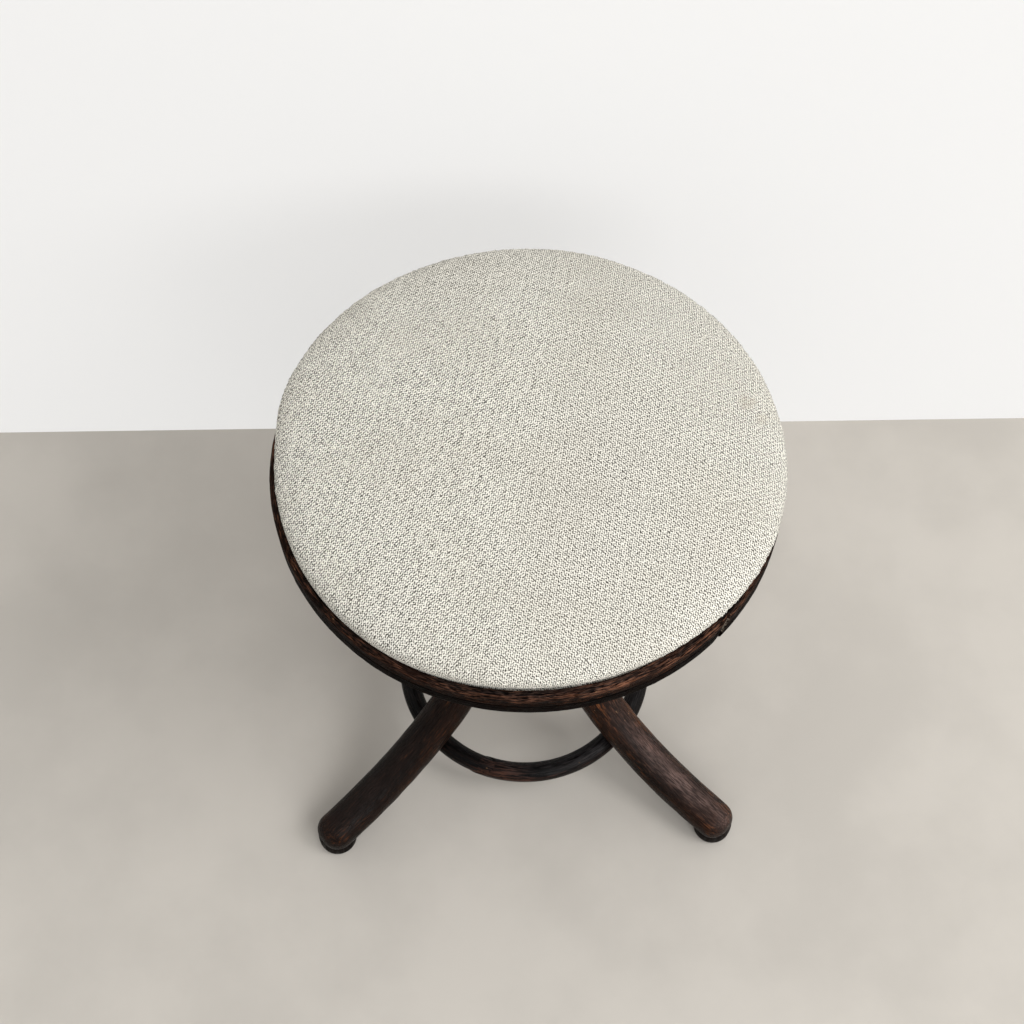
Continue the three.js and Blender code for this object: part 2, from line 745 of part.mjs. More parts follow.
// The cloth: turned in under the board, up past the rim, out to its widest line and over the crown
function seatCover() {
  const swell = rimTop + cushionWidestRise / 3;
  const outer = [
    point(tailInner, tailFoot),
    point(seamRadius, tailFoot),
    point(seamRadius, rimTop),
    point(THREE.MathUtils.lerp(seamRadius, widestRadius, 0.6), swell),
    ...crownProfile(0),
  ];
  const inner = [
    point(tailInner, tailTop),
    point(seamRadius - coverThickness, tailTop),
    point(seamRadius - coverThickness, rimTop),
    ...crownProfile(coverThickness),
  ];
  const profile = [...outer.reverse(), ...inner];
  return without(turned(profile, seatSides), rimScrews(fitGap));
}

// A solid back into a three.js mesh with its name and finish
function piece(name, finish, shape) {
  const { vertProperties, triVerts } = shape.getMesh();
  const geometry = new THREE.BufferGeometry();
  geometry.setAttribute("position", new THREE.BufferAttribute(vertProperties, 3));
  geometry.setIndex(new THREE.BufferAttribute(triVerts, 1));
  geometry.computeVertexNormals();
  const mesh = new THREE.Mesh(geometry, new THREE.MeshStandardMaterial(finishes[finish]));
  mesh.name = name;
  return mesh;
}

// Copies of one fastener, each its own numbered mesh
function addNumbered(group, name, finish, shapes) {
  shapes.forEach((shape, i) => group.add(piece(`${name}_${i + 1}`, finish, shape)));
}

const base = new THREE.Group();
base.add(piece("hub", "stainedWood", hub()));
base.add(piece("spindle_nut", "castIron", spindleNut()));
addNumbered(base, "nut_screw", "steel", plateScrews());
base.add(piece("guide_bush", "brass", guideBush()));
base.add(piece("brace_ring", "blackWood", braceRing()));
for (const [corner, { azimuth, reach }] of Object.entries(legPlaces)) {
  const [lowerScrew, upperScrew] = coachScrews();
  const quarter = new THREE.Group();
  quarter.add(piece(`leg_${corner}`, "stainedWood", leg(azimuth, reach)));
  quarter.add(piece(`leg_screw_lower_${corner}`, "castIron", lowerScrew));
  quarter.add(piece(`leg_screw_upper_${corner}`, "castIron", upperScrew));
  quarter.add(piece(`ring_screw_${corner}`, "steel", ringScrewInPlane()));
  quarter.add(piece(`foot_${corner}`, "stainedWood", foot(reach)));
  quarter.add(piece(`foot_screw_${corner}`, "steel", footScrewInPlane(reach)));
  quarter.rotation.z = azimuth;
  base.add(quarter);
}

const lift = new THREE.Group();
lift.add(piece("stop_washer", "steel", stopWasher()));

const seat = new THREE.Group();
seat.add(piece("spindle", "steel", spindle()));
seat.add(piece("stop_collar", "castIron", stopCollar()));
seat.add(piece("collar_pin", "steel", crossPin(collarPinHeight, 2 * stopCollarRadius)));
seat.add(piece("seat_flange", "castIron", seatFlange()));
seat.add(piece("flange_pin", "steel", crossPin(bossPinHeight, 2 * bossRadius)));
addNumbered(seat, "flange_screw", "steel", flangeScrews());
seat.add(piece("seat_rail", "rawWood", seatRail()));
addNumbered(seat, "rail_screw", "steel", railScrews());
seat.add(piece("seat_rim_front", "stainedWood", seatRimHalf(-1)));
seat.add(piece("seat_rim_rear", "stainedWood", seatRimHalf(1)));
addNumbered(seat, "rim_screw", "steel", rimScrews());
seat.add(piece("seat_board", "rawWood", seatBoard()));
seat.add(piece("seat_pad", "padding", seatPad()));
seat.add(piece("seat_cover", "cloth", seatCover()));

const stool = new THREE.Group();
stool.add(base, lift, seat);

export default stool;
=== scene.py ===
"""Looks of the revolving piano stool: fine meshes and finishes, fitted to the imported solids.

Each part of the stool is a class that builds its meshes, dresses them and lets them ride on their
bodies. Sizes are in millimetres up to new_object(), which turns them into the scene's metres.
"""

import logging
import math
from collections.abc import Callable, Sequence
from dataclasses import dataclass, field
from enum import Enum

import bmesh
import bpy
import numpy as np
from mathutils import Matrix, Vector, noise


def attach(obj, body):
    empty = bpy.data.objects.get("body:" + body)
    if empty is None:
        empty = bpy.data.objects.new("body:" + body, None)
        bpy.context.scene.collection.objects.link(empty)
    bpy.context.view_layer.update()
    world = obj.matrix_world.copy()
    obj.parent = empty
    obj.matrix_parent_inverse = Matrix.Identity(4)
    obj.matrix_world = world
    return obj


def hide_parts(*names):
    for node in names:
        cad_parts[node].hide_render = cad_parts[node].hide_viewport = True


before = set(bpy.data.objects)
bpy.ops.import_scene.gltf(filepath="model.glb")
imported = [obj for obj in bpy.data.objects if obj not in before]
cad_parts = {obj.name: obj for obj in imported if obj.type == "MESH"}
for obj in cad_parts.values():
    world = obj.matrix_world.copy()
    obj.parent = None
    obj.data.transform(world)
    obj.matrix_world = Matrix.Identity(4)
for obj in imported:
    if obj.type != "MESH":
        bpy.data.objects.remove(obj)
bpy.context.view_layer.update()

log = logging.getLogger("stool")

MM = 0.001  # a millimetre in metres
TURN = 2 * math.pi
UP = Vector((0, 0, 1))
ALONG_X = Vector((1, 0, 0))
ALONG_Y = Vector((0, 1, 0))
FIT = 0.3  # gap between pieces that touch

Profile = list[tuple[float, float]]  # radius and height of each corner
Triple = tuple[float, float, float]
Socket = bpy.types.NodeSocket
Move = Callable[[Vector], Vector]
Mapper = Callable[[np.ndarray, np.ndarray], np.ndarray]  # from places and their faces' middles


class Body(Enum):
    """The bodies that the pieces ride on."""

    BASE = "base"
    STOP = "stop"
    SEAT = "seat"


@dataclass(frozen=True)
class Corner:
    """One of the four legs' corners."""

    label: str
    heading: float  # in degrees, from the right towards the rear
    reach: float  # how far from the axis the foot stands
    age: float  # how worn the leg is and how much painted light it gets, 0 to 1

    @property
    def spin(self) -> Matrix:
        """The turn from the leg's own plane to its corner."""
        return Matrix.Rotation(math.radians(self.heading), 4, "Z")


# The front left leg, which stands in shade, gets little wear and painted sheen; the front right leg gets the
# most.
CORNERS = (Corner("front_left", -90 - 48.5, 226.0, 0.30), Corner("front_right", -90 + 48.8, 220.0, 1.0),
           Corner("rear_right", 90 - 49, 223.2, 0.7), Corner("rear_left", 90 + 49, 223.2, 0.5))


# ---- Numbers ----


def clamp(share: float) -> float:
    """A share held between 0 and 1."""
    return min(1.0, max(0.0, share))


def eased(share: float) -> float:
    """A share held between 0 and 1, with soft ends."""
    return clamp(share) ** 2 * (3 - 2 * clamp(share))


def quarter(steps: int) -> list[float]:
    """Angles of a quarter turn in even steps, both ends included."""
    return [math.pi / 2 * step / steps for step in range(steps + 1)]


def whole(steps: int) -> list[float]:
    """Angles that share one turn evenly."""
    return [TURN * step / steps for step in range(steps)]


def rise(values: np.ndarray, middle: float, width: float) -> np.ndarray:
    """A smooth rise from 0 to 1, or a fall where the width is negative."""
    return 1 / (1 + np.exp(-(values - middle) / width))


def hump(values: np.ndarray, middle: float, width: float) -> np.ndarray:
    """A smooth hump of height 1."""
    return np.exp(-((values - middle) / width) ** 2)


def held(values: np.ndarray) -> np.ndarray:
    """Numbers held between 0 and 1."""
    return np.clip(values, 0, 1)


def polar(radius: float, angle: float, height: float) -> Vector:
    """A place from its radius, angle and height."""
    return Vector((radius * math.cos(angle), radius * math.sin(angle), height))


def outwards(place: Vector) -> Vector:
    """The level direction from the stool's axis to a place."""
    return Vector((place.x, place.y, 0)).normalized()


def round_axis(places: np.ndarray) -> tuple[np.ndarray, np.ndarray]:
    """Distances from the stool's axis and angles round it."""
    return np.hypot(places[:, 0], places[:, 1]), np.arctan2(places[:, 1], places[:, 0])


def aim(place: Vector, direction: Vector) -> Matrix:
    """The move that takes a shape made along +Z to a place and a direction."""
    return Matrix.Translation(place) @ UP.rotation_difference(direction.normalized()).to_matrix().to_4x4()


# ---- Shapes ----


@dataclass
class Shape:
    """A surface before it becomes a Blender mesh."""

    places: list[Vector] = field(default_factory=list)
    faces: list[tuple[int, ...]] = field(default_factory=list)

    def moved(self, matrix: Matrix) -> "Shape":
        """A moved copy."""
        return Shape([matrix @ place for place in self.places], list(self.faces))

    def joined(self, other: "Shape") -> "Shape":
        """A copy with another shape added; corners in one place are welded in new_object()."""
        shifted = [tuple(len(self.places) + corner for corner in face) for face in other.faces]
        return Shape(self.places + other.places, self.faces + shifted)


def grid(rows: Sequence[Sequence[Vector]], round_rows: bool, round_columns: bool) -> Shape:
    """Joins rows of places into a net of four-sided faces.

    Args:
        rows: the rows, each with the same number of places.
        round_rows: whether the last row joins the first.
        round_columns: whether each row's last place joins its first.

    Returns:
        The net.
    """
    count, width = len(rows), len(rows[0])
    faces = []
    for row in range(count if round_rows else count - 1):
        here, there = row * width, (row + 1) % count * width
        for spot in range(width if round_columns else width - 1):
            after = (spot + 1) % width
            faces.append((here + spot, here + after, there + after, there + spot))
    return Shape([place for row in rows for place in row], faces)


def turned(profile: Profile, segments: int, hollow: bool = False) -> Shape:
    """A profile turned about the vertical axis; a hollow one is a closed loop off the axis."""
    rows = [[polar(radius, angle, height) for radius, height in profile] for angle in whole(segments)]
    return grid(rows, True, hollow)


def swept(rings: Sequence[Sequence[Vector]]) -> Shape:
    """Joins rings of places into one closed shape with flat ends.

    Args:
        rings: the rings, each with the same number of places.

    Returns:
        The closed shape.
    """
    body = grid(rings, False, True)
    width, count = len(rings[0]), len(body.places)
    body.faces += [tuple(range(width)), tuple(reversed(range(count - width, count)))]
    return body


def circle(centre: Vector, side: Vector, across: Vector, radius: float, count: int) -> list[Vector]:
    """Places on a circle, from one direction of length 1 towards another."""
    return [centre + radius * (side * math.cos(a) + across * math.sin(a)) for a in whole(count)]


def arc(centre: tuple[float, float], radius: float, start: float, end: float, steps: int) -> Profile:
    """A profile's rounded edge, between two angles in degrees from outwards towards up."""
    angles = [math.radians(start + (end - start) * step / steps) for step in range(steps + 1)]
    return [(centre[0] + radius * math.cos(a), centre[1] + radius * math.sin(a)) for a in angles]


def rod(radius: float, foot: float, top: float, sides: int = 48) -> Shape:
    """A round rod on the vertical axis, closed at both ends."""
    return turned([(0, foot), (radius, foot), (radius, top), (0, top)], sides)


def block(low: Triple, high: Triple) -> Shape:
    """A cutter with square corners, from its lowest corner to its highest."""
    ring = [(low[0], low[1]), (high[0], low[1]), (high[0], high[1]), (low[0], high[1])]
    return swept([[Vector((x, y, z)) for x, y in ring] for z in (low[2], high[2])])


class Thread:
    """The right-hand screw thread that the spindle and its nut share."""

    crest_radius = 11.0
    root_radius = 8.8
    depth = crest_radius - root_radius
    pitch = 8.0
    crest = 3.0
    flank = 1.0
    gap = 0.8
    side_gap = 0.35
    sides = 48
    rows = 20  # for each turn
    start = Matrix.Rotation(-math.pi / 2, 4, "Z")  # where the wall's first side stands

    @classmethod
    def wall(cls, base: float, depth: float, crest: float, foot: float, top: float,
             fade: tuple[float, float]) -> Shape:
        """The open wall of the thread, rows climbing one pitch in each turn.

        Args:
            base: radius where the thread runs out.
            depth: height of the ridge above the base, or below it if negative.
            crest: width of the ridge along the axis.
            foot: lowest height.
            top: highest height.
            fade: run-out lengths at the foot and at the top.

        Returns:
            The wall, with a plain circle at each end.
        """
        first = math.floor(foot / cls.pitch) - 1
        turns = math.ceil(top / cls.pitch) + 2 - first
        columns = []
        for side in range(cls.sides + 1):
            column = []
            for step in range(turns * cls.rows):
                climb = (step % cls.rows) / cls.rows * cls.pitch
                gap = min(climb, cls.pitch - climb)
                ridge = clamp((crest / 2 + cls.flank - gap) / cls.flank)
                height = (first + step // cls.rows + side / cls.sides) * cls.pitch + climb
                height = min(top, max(foot, height))
                ends = min(1.0, (height - foot) / fade[0]) * min(1.0, (top - height) / fade[1])
                angle = TURN * side / cls.sides - math.pi / 2
                column.append(polar(base + depth * ridge * ends, angle, height))
            columns.append(column)
        return grid(columns, False, False)


# ---- Pieces ----


def new_object(name: str, shape: Shape) -> bpy.types.Object:
    """Makes a Blender object from a shape, welded and with its faces outwards.

    Args:
        name: the object's name.
        shape: the shape.

    Returns:
        The object, in the scene.
    """
    mesh = bpy.data.meshes.new(name)
    mesh.from_pydata([place * MM for place in shape.places], [], shape.faces)
    builder = bmesh.new()
    builder.from_mesh(mesh)
    bmesh.ops.remove_doubles(builder, verts=builder.verts, dist=0.002 * MM)
    bmesh.ops.dissolve_degenerate(builder, edges=builder.edges, dist=0.001 * MM)
    bmesh.ops.recalc_face_normals(builder, faces=builder.faces)
    builder.to_mesh(mesh)
    builder.free()
    return linked(name, mesh)


def linked(name: str, data: bpy.types.ID) -> bpy.types.Object:
    """Puts a mesh, lamp or camera in the scene.

    Args:
        name: the object's name.
        data: what it holds.

    Returns:
        The object.
    """
    holder = bpy.data.objects.new(name, data)
    bpy.context.scene.collection.objects.link(holder)
    return holder


def carve(piece: bpy.types.Object, cutters: Sequence[Shape], operation: str = "DIFFERENCE") -> None:
    """Cuts shapes out of a piece.

    Args:
        piece: the piece.
        cutters: the shapes.
        operation: how they act on it, as Blender names it.
    """
    helpers = [new_object("cutter", shape) for shape in cutters]
    for helper in helpers:
        cut = piece.modifiers.new("cut", "BOOLEAN")
        cut.operation, cut.solver, cut.object = operation, "EXACT", helper
    settled = piece.evaluated_get(bpy.context.evaluated_depsgraph_get())
    carved = bpy.data.meshes.new_from_object(settled)
    piece.modifiers.clear()
    piece.data = carved
    for helper in helpers:
        bpy.data.objects.remove(helper)


def shift(piece: bpy.types.Object, move: Move) -> None:
    """Moves each corner of a piece to the place that the move gives for its old one."""
    for corner in piece.data.vertices:
        corner.co = move(corner.co / MM) * MM


def read(items: bpy.types.bpy_prop_collection, what: str, width: int, kind: type) -> np.ndarray:
    """Reads one property of all items.

    Args:
        items: the mesh's corners, faces or the like.
        what: the property.
        width: how many numbers it has.
        kind: their type.

    Returns:
        The numbers, a row for each item if there are several.
    """
    values = np.empty(width * len(items), dtype=kind)
    items.foreach_get(what, values)
    return values.reshape(-1, width) if width > 1 else values


def mark(piece: bpy.types.Object, name: str, mapper: Mapper) -> None:
    """Writes a finish's own coordinates on each corner of each face.

    Args:
        piece: the piece.
        name: the attribute's name.
        mapper: gives three numbers for each place.
    """
    mesh = piece.data
    places = read(mesh.vertices, "co", 3, float)[read(mesh.loops, "vertex_index", 1, np.int32)]
    counts = read(mesh.polygons, "loop_total", 1, np.int32)
    middles = np.repeat(read(mesh.polygons, "center", 3, float), counts, axis=0)
    values = mapper(places / MM, middles / MM)
    layer = mesh.attributes.new(name, "FLOAT_VECTOR", "CORNER")
    layer.data.foreach_set("vector", np.ascontiguousarray(values, dtype=np.float32).ravel())


def upright_grain(places: np.ndarray, middles: np.ndarray) -> np.ndarray:
    """Grain that runs up the stool's axis."""
    return places


def crosswise_grain(places: np.ndarray, middles: np.ndarray) -> np.ndarray:
    """Grain that runs from left to right."""
    return places[:, [1, 2, 0]]


def bent_grain(radius: float, start: float) -> Mapper:
    """Grain that runs round a bent ring.

    Args:
        radius: the ring's radius.
        start: angle of the joint where the grain begins.

    Returns:
        The mapper.
    """

    def mapper(places: np.ndarray, middles: np.ndarray) -> np.ndarray:
        """Measures each place from the joint, on the same side of it as its face.

        Args:
            places: the places.
            middles: the middles of their faces.

        Returns:
            Radial offset, height and length round the ring.
        """
        out, angle = round_axis(places)
        middle = np.mod(round_axis(middles)[1] - start, TURN)
        angle = middle + np.mod(np.mod(angle - start, TURN) - middle + math.pi, TURN) - math.pi
        return np.stack([out - radius, places[:, 2], angle * radius], axis=1)

    return mapper


def wear_by(rule: Callable[[np.ndarray], Sequence[np.ndarray]]) -> Mapper:
    """Wear from a rule that gives rubbed, dust with painted sheen, and bare, each 0 to 1, from the places."""
    return lambda places, middles: held(
        np.stack([part + np.zeros(len(places)) for part in rule(places)], axis=1))


def even_wear(amount: float) -> Mapper:
    """The same wear all over, with no dust, painted sheen or bare wood."""
    return wear_by(lambda places: (amount, 0.0, 0.0))


# ---- Finishes ----


class ShaderGraph:
    """One node material, built with short calls."""

    def __init__(self, name: str) -> None:
        """Starts the material with its shader and output.

        Args:
            name: the material's name.
        """
        self.material = bpy.data.materials.new(name)
        self.material.use_nodes = True
        self.tree = self.material.node_tree
        self.tree.nodes.clear()
        self.output = self.tree.nodes.new("ShaderNodeOutputMaterial")
        self.shader = self.tree.nodes.new("ShaderNodeBsdfPrincipled")
        self.tree.links.new(self.shader.outputs[0], self.output.inputs["Surface"])

    def feed(self, socket: Socket, value: object) -> None:
        """Links a socket, or sets its value.

        Args:
            socket: the input.
            value: another node's output, or the value itself.
        """
        if isinstance(value, Socket):
            self.tree.links.new(value, socket)
        elif isinstance(value, tuple) and len(value) == 3 and len(socket.default_value) == 4:
            socket.default_value = (*value, 1)
        else:
            socket.default_value = value

    def add(self, kind: str, inputs: dict[object, object], **settings: object) -> bpy.types.Node:
        """Adds a node.

        Args:
            kind: the node's type, without its ShaderNode prefix.
            inputs: values or sockets by input name or number.
            **settings: the node's own settings.

        Returns:
            The node.
        """
        node = self.tree.nodes.new("ShaderNode" + kind)
        for name, value in settings.items():
            setattr(node, name, value)
        for name, value in inputs.items():
            self.feed(node.inputs[name], value)
        return node

    def own_space(self) -> Socket:
        """Places in the object's own space, in metres."""
        return self.add("TexCoord", {}).outputs["Object"]

    def attribute(self, name: str) -> Socket:
        """Coordinates written by mark()."""
        return self.add("Attribute", {}, attribute_name=name).outputs["Vector"]

    def part(self, vector: Socket, axis: str) -> Socket:
        """One number of a vector."""
        return self.add("SeparateXYZ", {0: vector}).outputs[axis]

    def vectors(self, operation: str, first: Socket, second: object) -> Socket:
        """One step on two vectors."""
        return self.add("VectorMath", {0: first, 1: second}, operation=operation).outputs[0]

    def scaled(self, vector: Socket, x: float, y: float, z: float, shifted: float = 0.0) -> Socket:
        """A vector with each number scaled, then shifted."""
        return self.vectors("ADD", self.vectors("MULTIPLY", vector, (x, y, z)), (shifted,) * 3)

    def noise(self, vector: Socket, detail: float = 3.0, rough: float = 0.55, warp: float = 0.0) -> Socket:
        """Soft noise with features one unit across."""
        inputs = {"Vector": vector, "Scale": 1.0, "Detail": detail, "Roughness": rough, "Distortion": warp}
        return self.add("TexNoise", inputs).outputs[0]

    def cells(self, vector: Socket) -> Socket:
        """Distance to the nearest of scattered points about one unit apart."""
        return self.add("TexVoronoi", {"Vector": vector, "Scale": 1.0}).outputs["Distance"]

    def maths(self, operation: str, *values: object) -> Socket:
        """One step on numbers."""
        return self.add("Math", dict(enumerate(values)), operation=operation).outputs[0]

    def times(self, first: object, second: object) -> Socket:
        """A product."""
        return self.maths("MULTIPLY", first, second)

    def plus(self, base: object, value: Socket, share: float) -> Socket:
        """A number with a share of another added."""
        return self.maths("MULTIPLY_ADD", value, share, base)

    def centred(self, value: Socket, reach: float) -> Socket:
        """Noise about 0 in place of noise about a half, times a reach."""
        return self.times(self.maths("SUBTRACT", value, 0.5), reach)

    def span(self, value: Socket, low: float, high: float,
             to_low: float = 0.0, to_high: float = 1.0) -> Socket:
        """A number moved smoothly from one range to another, and held at its ends."""
        inputs = {0: value, 1: low, 2: high, 3: to_low, 4: to_high}
        return self.add("MapRange", inputs, interpolation_type="SMOOTHSTEP").outputs[0]

    def mixed(self, share: object, first: object, second: object) -> Socket:
        """Two colours mixed."""
        return self.add("Mix", {0: share, 6: first, 7: second}, data_type="RGBA").outputs[2]

    def bumped(self, height: Socket, distance: float, strength: float, **under: Socket) -> Socket:
        """A normal from a height in shares of a distance, over another normal if one is given."""
        inputs = {"Height": height, "Distance": distance * MM, "Strength": strength, **under}
        return self.add("Bump", inputs).outputs[0]

    def finish(self, **inputs: object) -> bpy.types.Material:
        """Sets the shader's inputs.

        Args:
            **inputs: values or sockets, by input name with underscores for spaces.

        Returns:
            The finished material.
        """
        for name, value in inputs.items():
            self.feed(self.shader.inputs[name.replace("_", " ")], value)
        return self.material


@dataclass(frozen=True)
class WoodFinish:
    """Wood with straight grain, stained or bare.

    It reads the grain attribute, and from the wear attribute how far the stain is rubbed
    through, how much dust and painted sheen lie on the varnish, and where it is torn off.
    """

    name: str
    slot: str
    deep: Triple
    middle: Triple
    streak: Triple
    streak_share: float
    pore_depth: float
    rough: float
    shine: float
    relief: float = 0.30
    # dust on the varnish, with a painted sheen where light would gleam on it
    dust_and_sheen_colour: Triple = (0.085, 0.066, 0.062)
    chip: Triple = (0.42, 0.24, 0.13)
    pale: Triple = (0.62, 0.52, 0.42)
    fineness: float = 1.0
    dust_and_sheen_low: float = 0.28

    def build(self) -> bpy.types.Material:
        """Builds the material.

        Returns:
            The material.
        """
        graph, thin = ShaderGraph(self.name), self.fineness
        grain, marks = graph.attribute("grain"), graph.attribute("wear")
        wear, dust_and_sheen, bare = (graph.part(marks, axis) for axis in "XYZ")
        broad = graph.noise(graph.scaled(grain, 0.05, 0.05, 0.012))
        patch = graph.noise(graph.scaled(grain, 0.07, 0.07, 0.03, 11.0))
        fibre = graph.noise(graph.scaled(grain, 0.42 * thin, 0.42 * thin, 0.030 * thin), 4, 0.6, 0.25)
        fine = graph.noise(graph.scaled(grain, 0.95 * thin, 0.95 * thin, 0.085 * thin, 7.0), 2, 0.6)
        pores = graph.span(graph.noise(graph.scaled(grain, 1.5, 1.5, 0.16, 3.0), 2, 0.5), 0.56, 0.64)
        torn = graph.span(graph.noise(graph.scaled(grain, 0.9, 0.9, 0.6, 17.0), 2), 0.36, 0.52)
        # dust with a painted sheen, broken up by fine noise
        dust_and_sheen_share = graph.times(dust_and_sheen, graph.span(fine, 0.39, 0.63, self.dust_and_sheen_low, 1.0))
        lighter = graph.times(graph.span(broad, 0.38, 0.62), graph.span(wear, 0.0, 0.35, 0.15, 1.0))
        colour = graph.mixed(lighter, self.deep, self.middle)
        for share, layer in ((self.streaks(graph, fibre, fine, wear, patch), self.streak),
                             (graph.times(pores, self.pore_depth), self.deep),
                             (graph.times(dust_and_sheen_share, graph.span(patch, 0.36, 0.60, 0.55, 1.0)), self.dust_and_sheen_colour),
                             (self.chips(graph, grain, wear), self.chip),
                             (graph.times(bare, torn), self.pale)):
            colour = graph.mixed(share, colour, layer)
        rough = graph.plus(graph.span(fibre, 0.40, 0.60, self.rough - 0.06, self.rough + 0.14), pores, 0.12)
        height = graph.plus(graph.plus(graph.maths("ADD", fibre, fine), pores, -0.5), bare, -0.8)
        soft = graph.bumped(graph.noise(graph.scaled(grain, 0.10, 0.10, 0.035, 2.0), 2), 1.6, 0.7)
        return graph.finish(Base_Color=colour, Roughness=rough, Specular_IOR_Level=self.shine,
                            Normal=graph.bumped(height, self.relief, 0.9, Normal=soft))

    def streaks(self, graph: ShaderGraph, fibre: Socket, fine: Socket, wear: Socket, patch: Socket) -> Socket:
        """Where the lighter wood shows through the stain, along the grain.

        Args:
            graph: the material's graph.
            fibre: long noise along the grain.
            fine: shorter noise along the grain.
            wear: how far the stain is rubbed through.
            patch: broad patches.

        Returns:
            The share of the streak colour.
        """
        push = graph.plus(graph.plus(graph.times(fibre, 0.5), fine, 0.5), wear, 0.11)
        lines = graph.times(graph.span(push, 0.54, 0.66), self.streak_share)
        reach = graph.times(graph.span(patch, 0.38, 0.60, 0.25, 1.0), graph.plus(0.05, wear, 0.95))
        return graph.times(lines, reach)

    def chips(self, graph: ShaderGraph, grain: Socket, wear: Socket) -> Socket:
        """Small chips of the varnish.

        Args:
            graph: the material's graph.
            grain: the grain coordinates.
            wear: how far the stain is rubbed through.

        Returns:
            The share of the chips' colour.
        """
        spots = graph.span(graph.cells(graph.scaled(grain, 0.30, 0.30, 0.16, 5.0)), 0.20, 0.11)
        places = graph.span(graph.noise(graph.scaled(grain, 0.22, 0.22, 0.12, 21.0), 1), 0.58, 0.66)
        return graph.times(graph.times(spots, places), graph.span(wear, 0.05, 0.7, 0.0, 0.8))


@dataclass(frozen=True)
class MetalFinish:
    """Metal, cast, turned or plain, coloured by the object's own space."""

    name: str
    slot: str
    colour: Triple
    stain: Triple
    stain_share: float
    rough: float
    grit: float
    turned_marks: bool = False
    metallic: float = 1.0

    def build(self) -> bpy.types.Material:
        """Builds the material.

        Returns:
            The material.
        """
        graph = ShaderGraph(self.name)
        place = graph.own_space()
        broad = graph.noise(graph.scaled(place, 90, 90, 90), 4)
        height = speck = graph.noise(graph.scaled(place, 700, 700, 700, 3.0))
        stains = graph.times(graph.span(broad, 0.48, 0.66), self.stain_share)
        colour = graph.mixed(stains, self.colour, self.stain)
        colour = graph.mixed(graph.span(speck, 0.58, 0.75, 0.0, 0.5), colour, self.stain)
        if self.turned_marks:
            height = graph.plus(speck, graph.noise(graph.scaled(place, 30, 30, 2600, 1.0), 2), 0.8)
        return graph.finish(Base_Color=colour, Metallic=self.metallic,
                            Normal=graph.bumped(height, self.grit, 0.7),
                            Roughness=graph.span(speck, 0.3, 0.7, self.rough - 0.06, self.rough + 0.12))


@dataclass(frozen=True)
class FoamFinish:
    """Open-celled cushion foam."""

    name: str = "padding foam"
    slot: str = "padding"
    colour: Triple = (0.68, 0.60, 0.40)
    aged: Triple = (0.52, 0.40, 0.22)

    def build(self) -> bpy.types.Material:
        """Builds the material.

        Returns:
            The material.
        """
        graph = ShaderGraph(self.name)
        place = graph.own_space()
        pits = graph.cells(graph.scaled(place, 900, 900, 900))
        broad = graph.noise(graph.scaled(place, 25, 25, 25))
        colour = graph.mixed(graph.span(broad, 0.4, 0.65), self.colour, self.aged)
        colour = graph.mixed(graph.span(pits, 0.35, 0.1, 0.0, 0.4), colour, self.aged)
        return graph.finish(Base_Color=colour, Roughness=0.95, Normal=graph.bumped(pits, 0.5, 0.8))


@dataclass(frozen=True)
class PlyFinish:
    """Plywood: bare face grain with thin layers that alternate at the edge."""

    name: str = "plywood"
    slot: str = "plywood"
    colour: Triple = (0.50, 0.35, 0.20)
    dark: Triple = (0.33, 0.20, 0.10)
    layer: float = 1.6

    def build(self) -> bpy.types.Material:
        """Builds the material.

        Returns:
            The material.
        """
        graph = ShaderGraph(self.name)
        grain = graph.attribute("grain")
        fibre = graph.noise(graph.scaled(grain, 0.5, 0.5, 0.02), 5, 0.65)
        fine = graph.noise(graph.scaled(grain, 2.5, 2.5, 0.08, 4.0))
        waves = graph.maths("SINE", graph.times(graph.part(grain, "Y"), TURN / self.layer))
        colour = self.colour
        for share in (graph.span(fibre, 0.4, 0.62, 0.0, 0.8), graph.span(fine, 0.56, 0.7, 0.0, 0.5),
                      graph.span(waves, -0.3, 0.3, 0.0, 0.35)):
            colour = graph.mixed(share, colour, self.dark)
        return graph.finish(Base_Color=colour, Roughness=0.8, Normal=graph.bumped(fibre, 0.2, 0.6))


@dataclass(frozen=True)
class ClothMark:
    """One faint mark on the cloth: its place on the flat cloth, size and strength."""

    place: Triple
    size: float
    strength: float


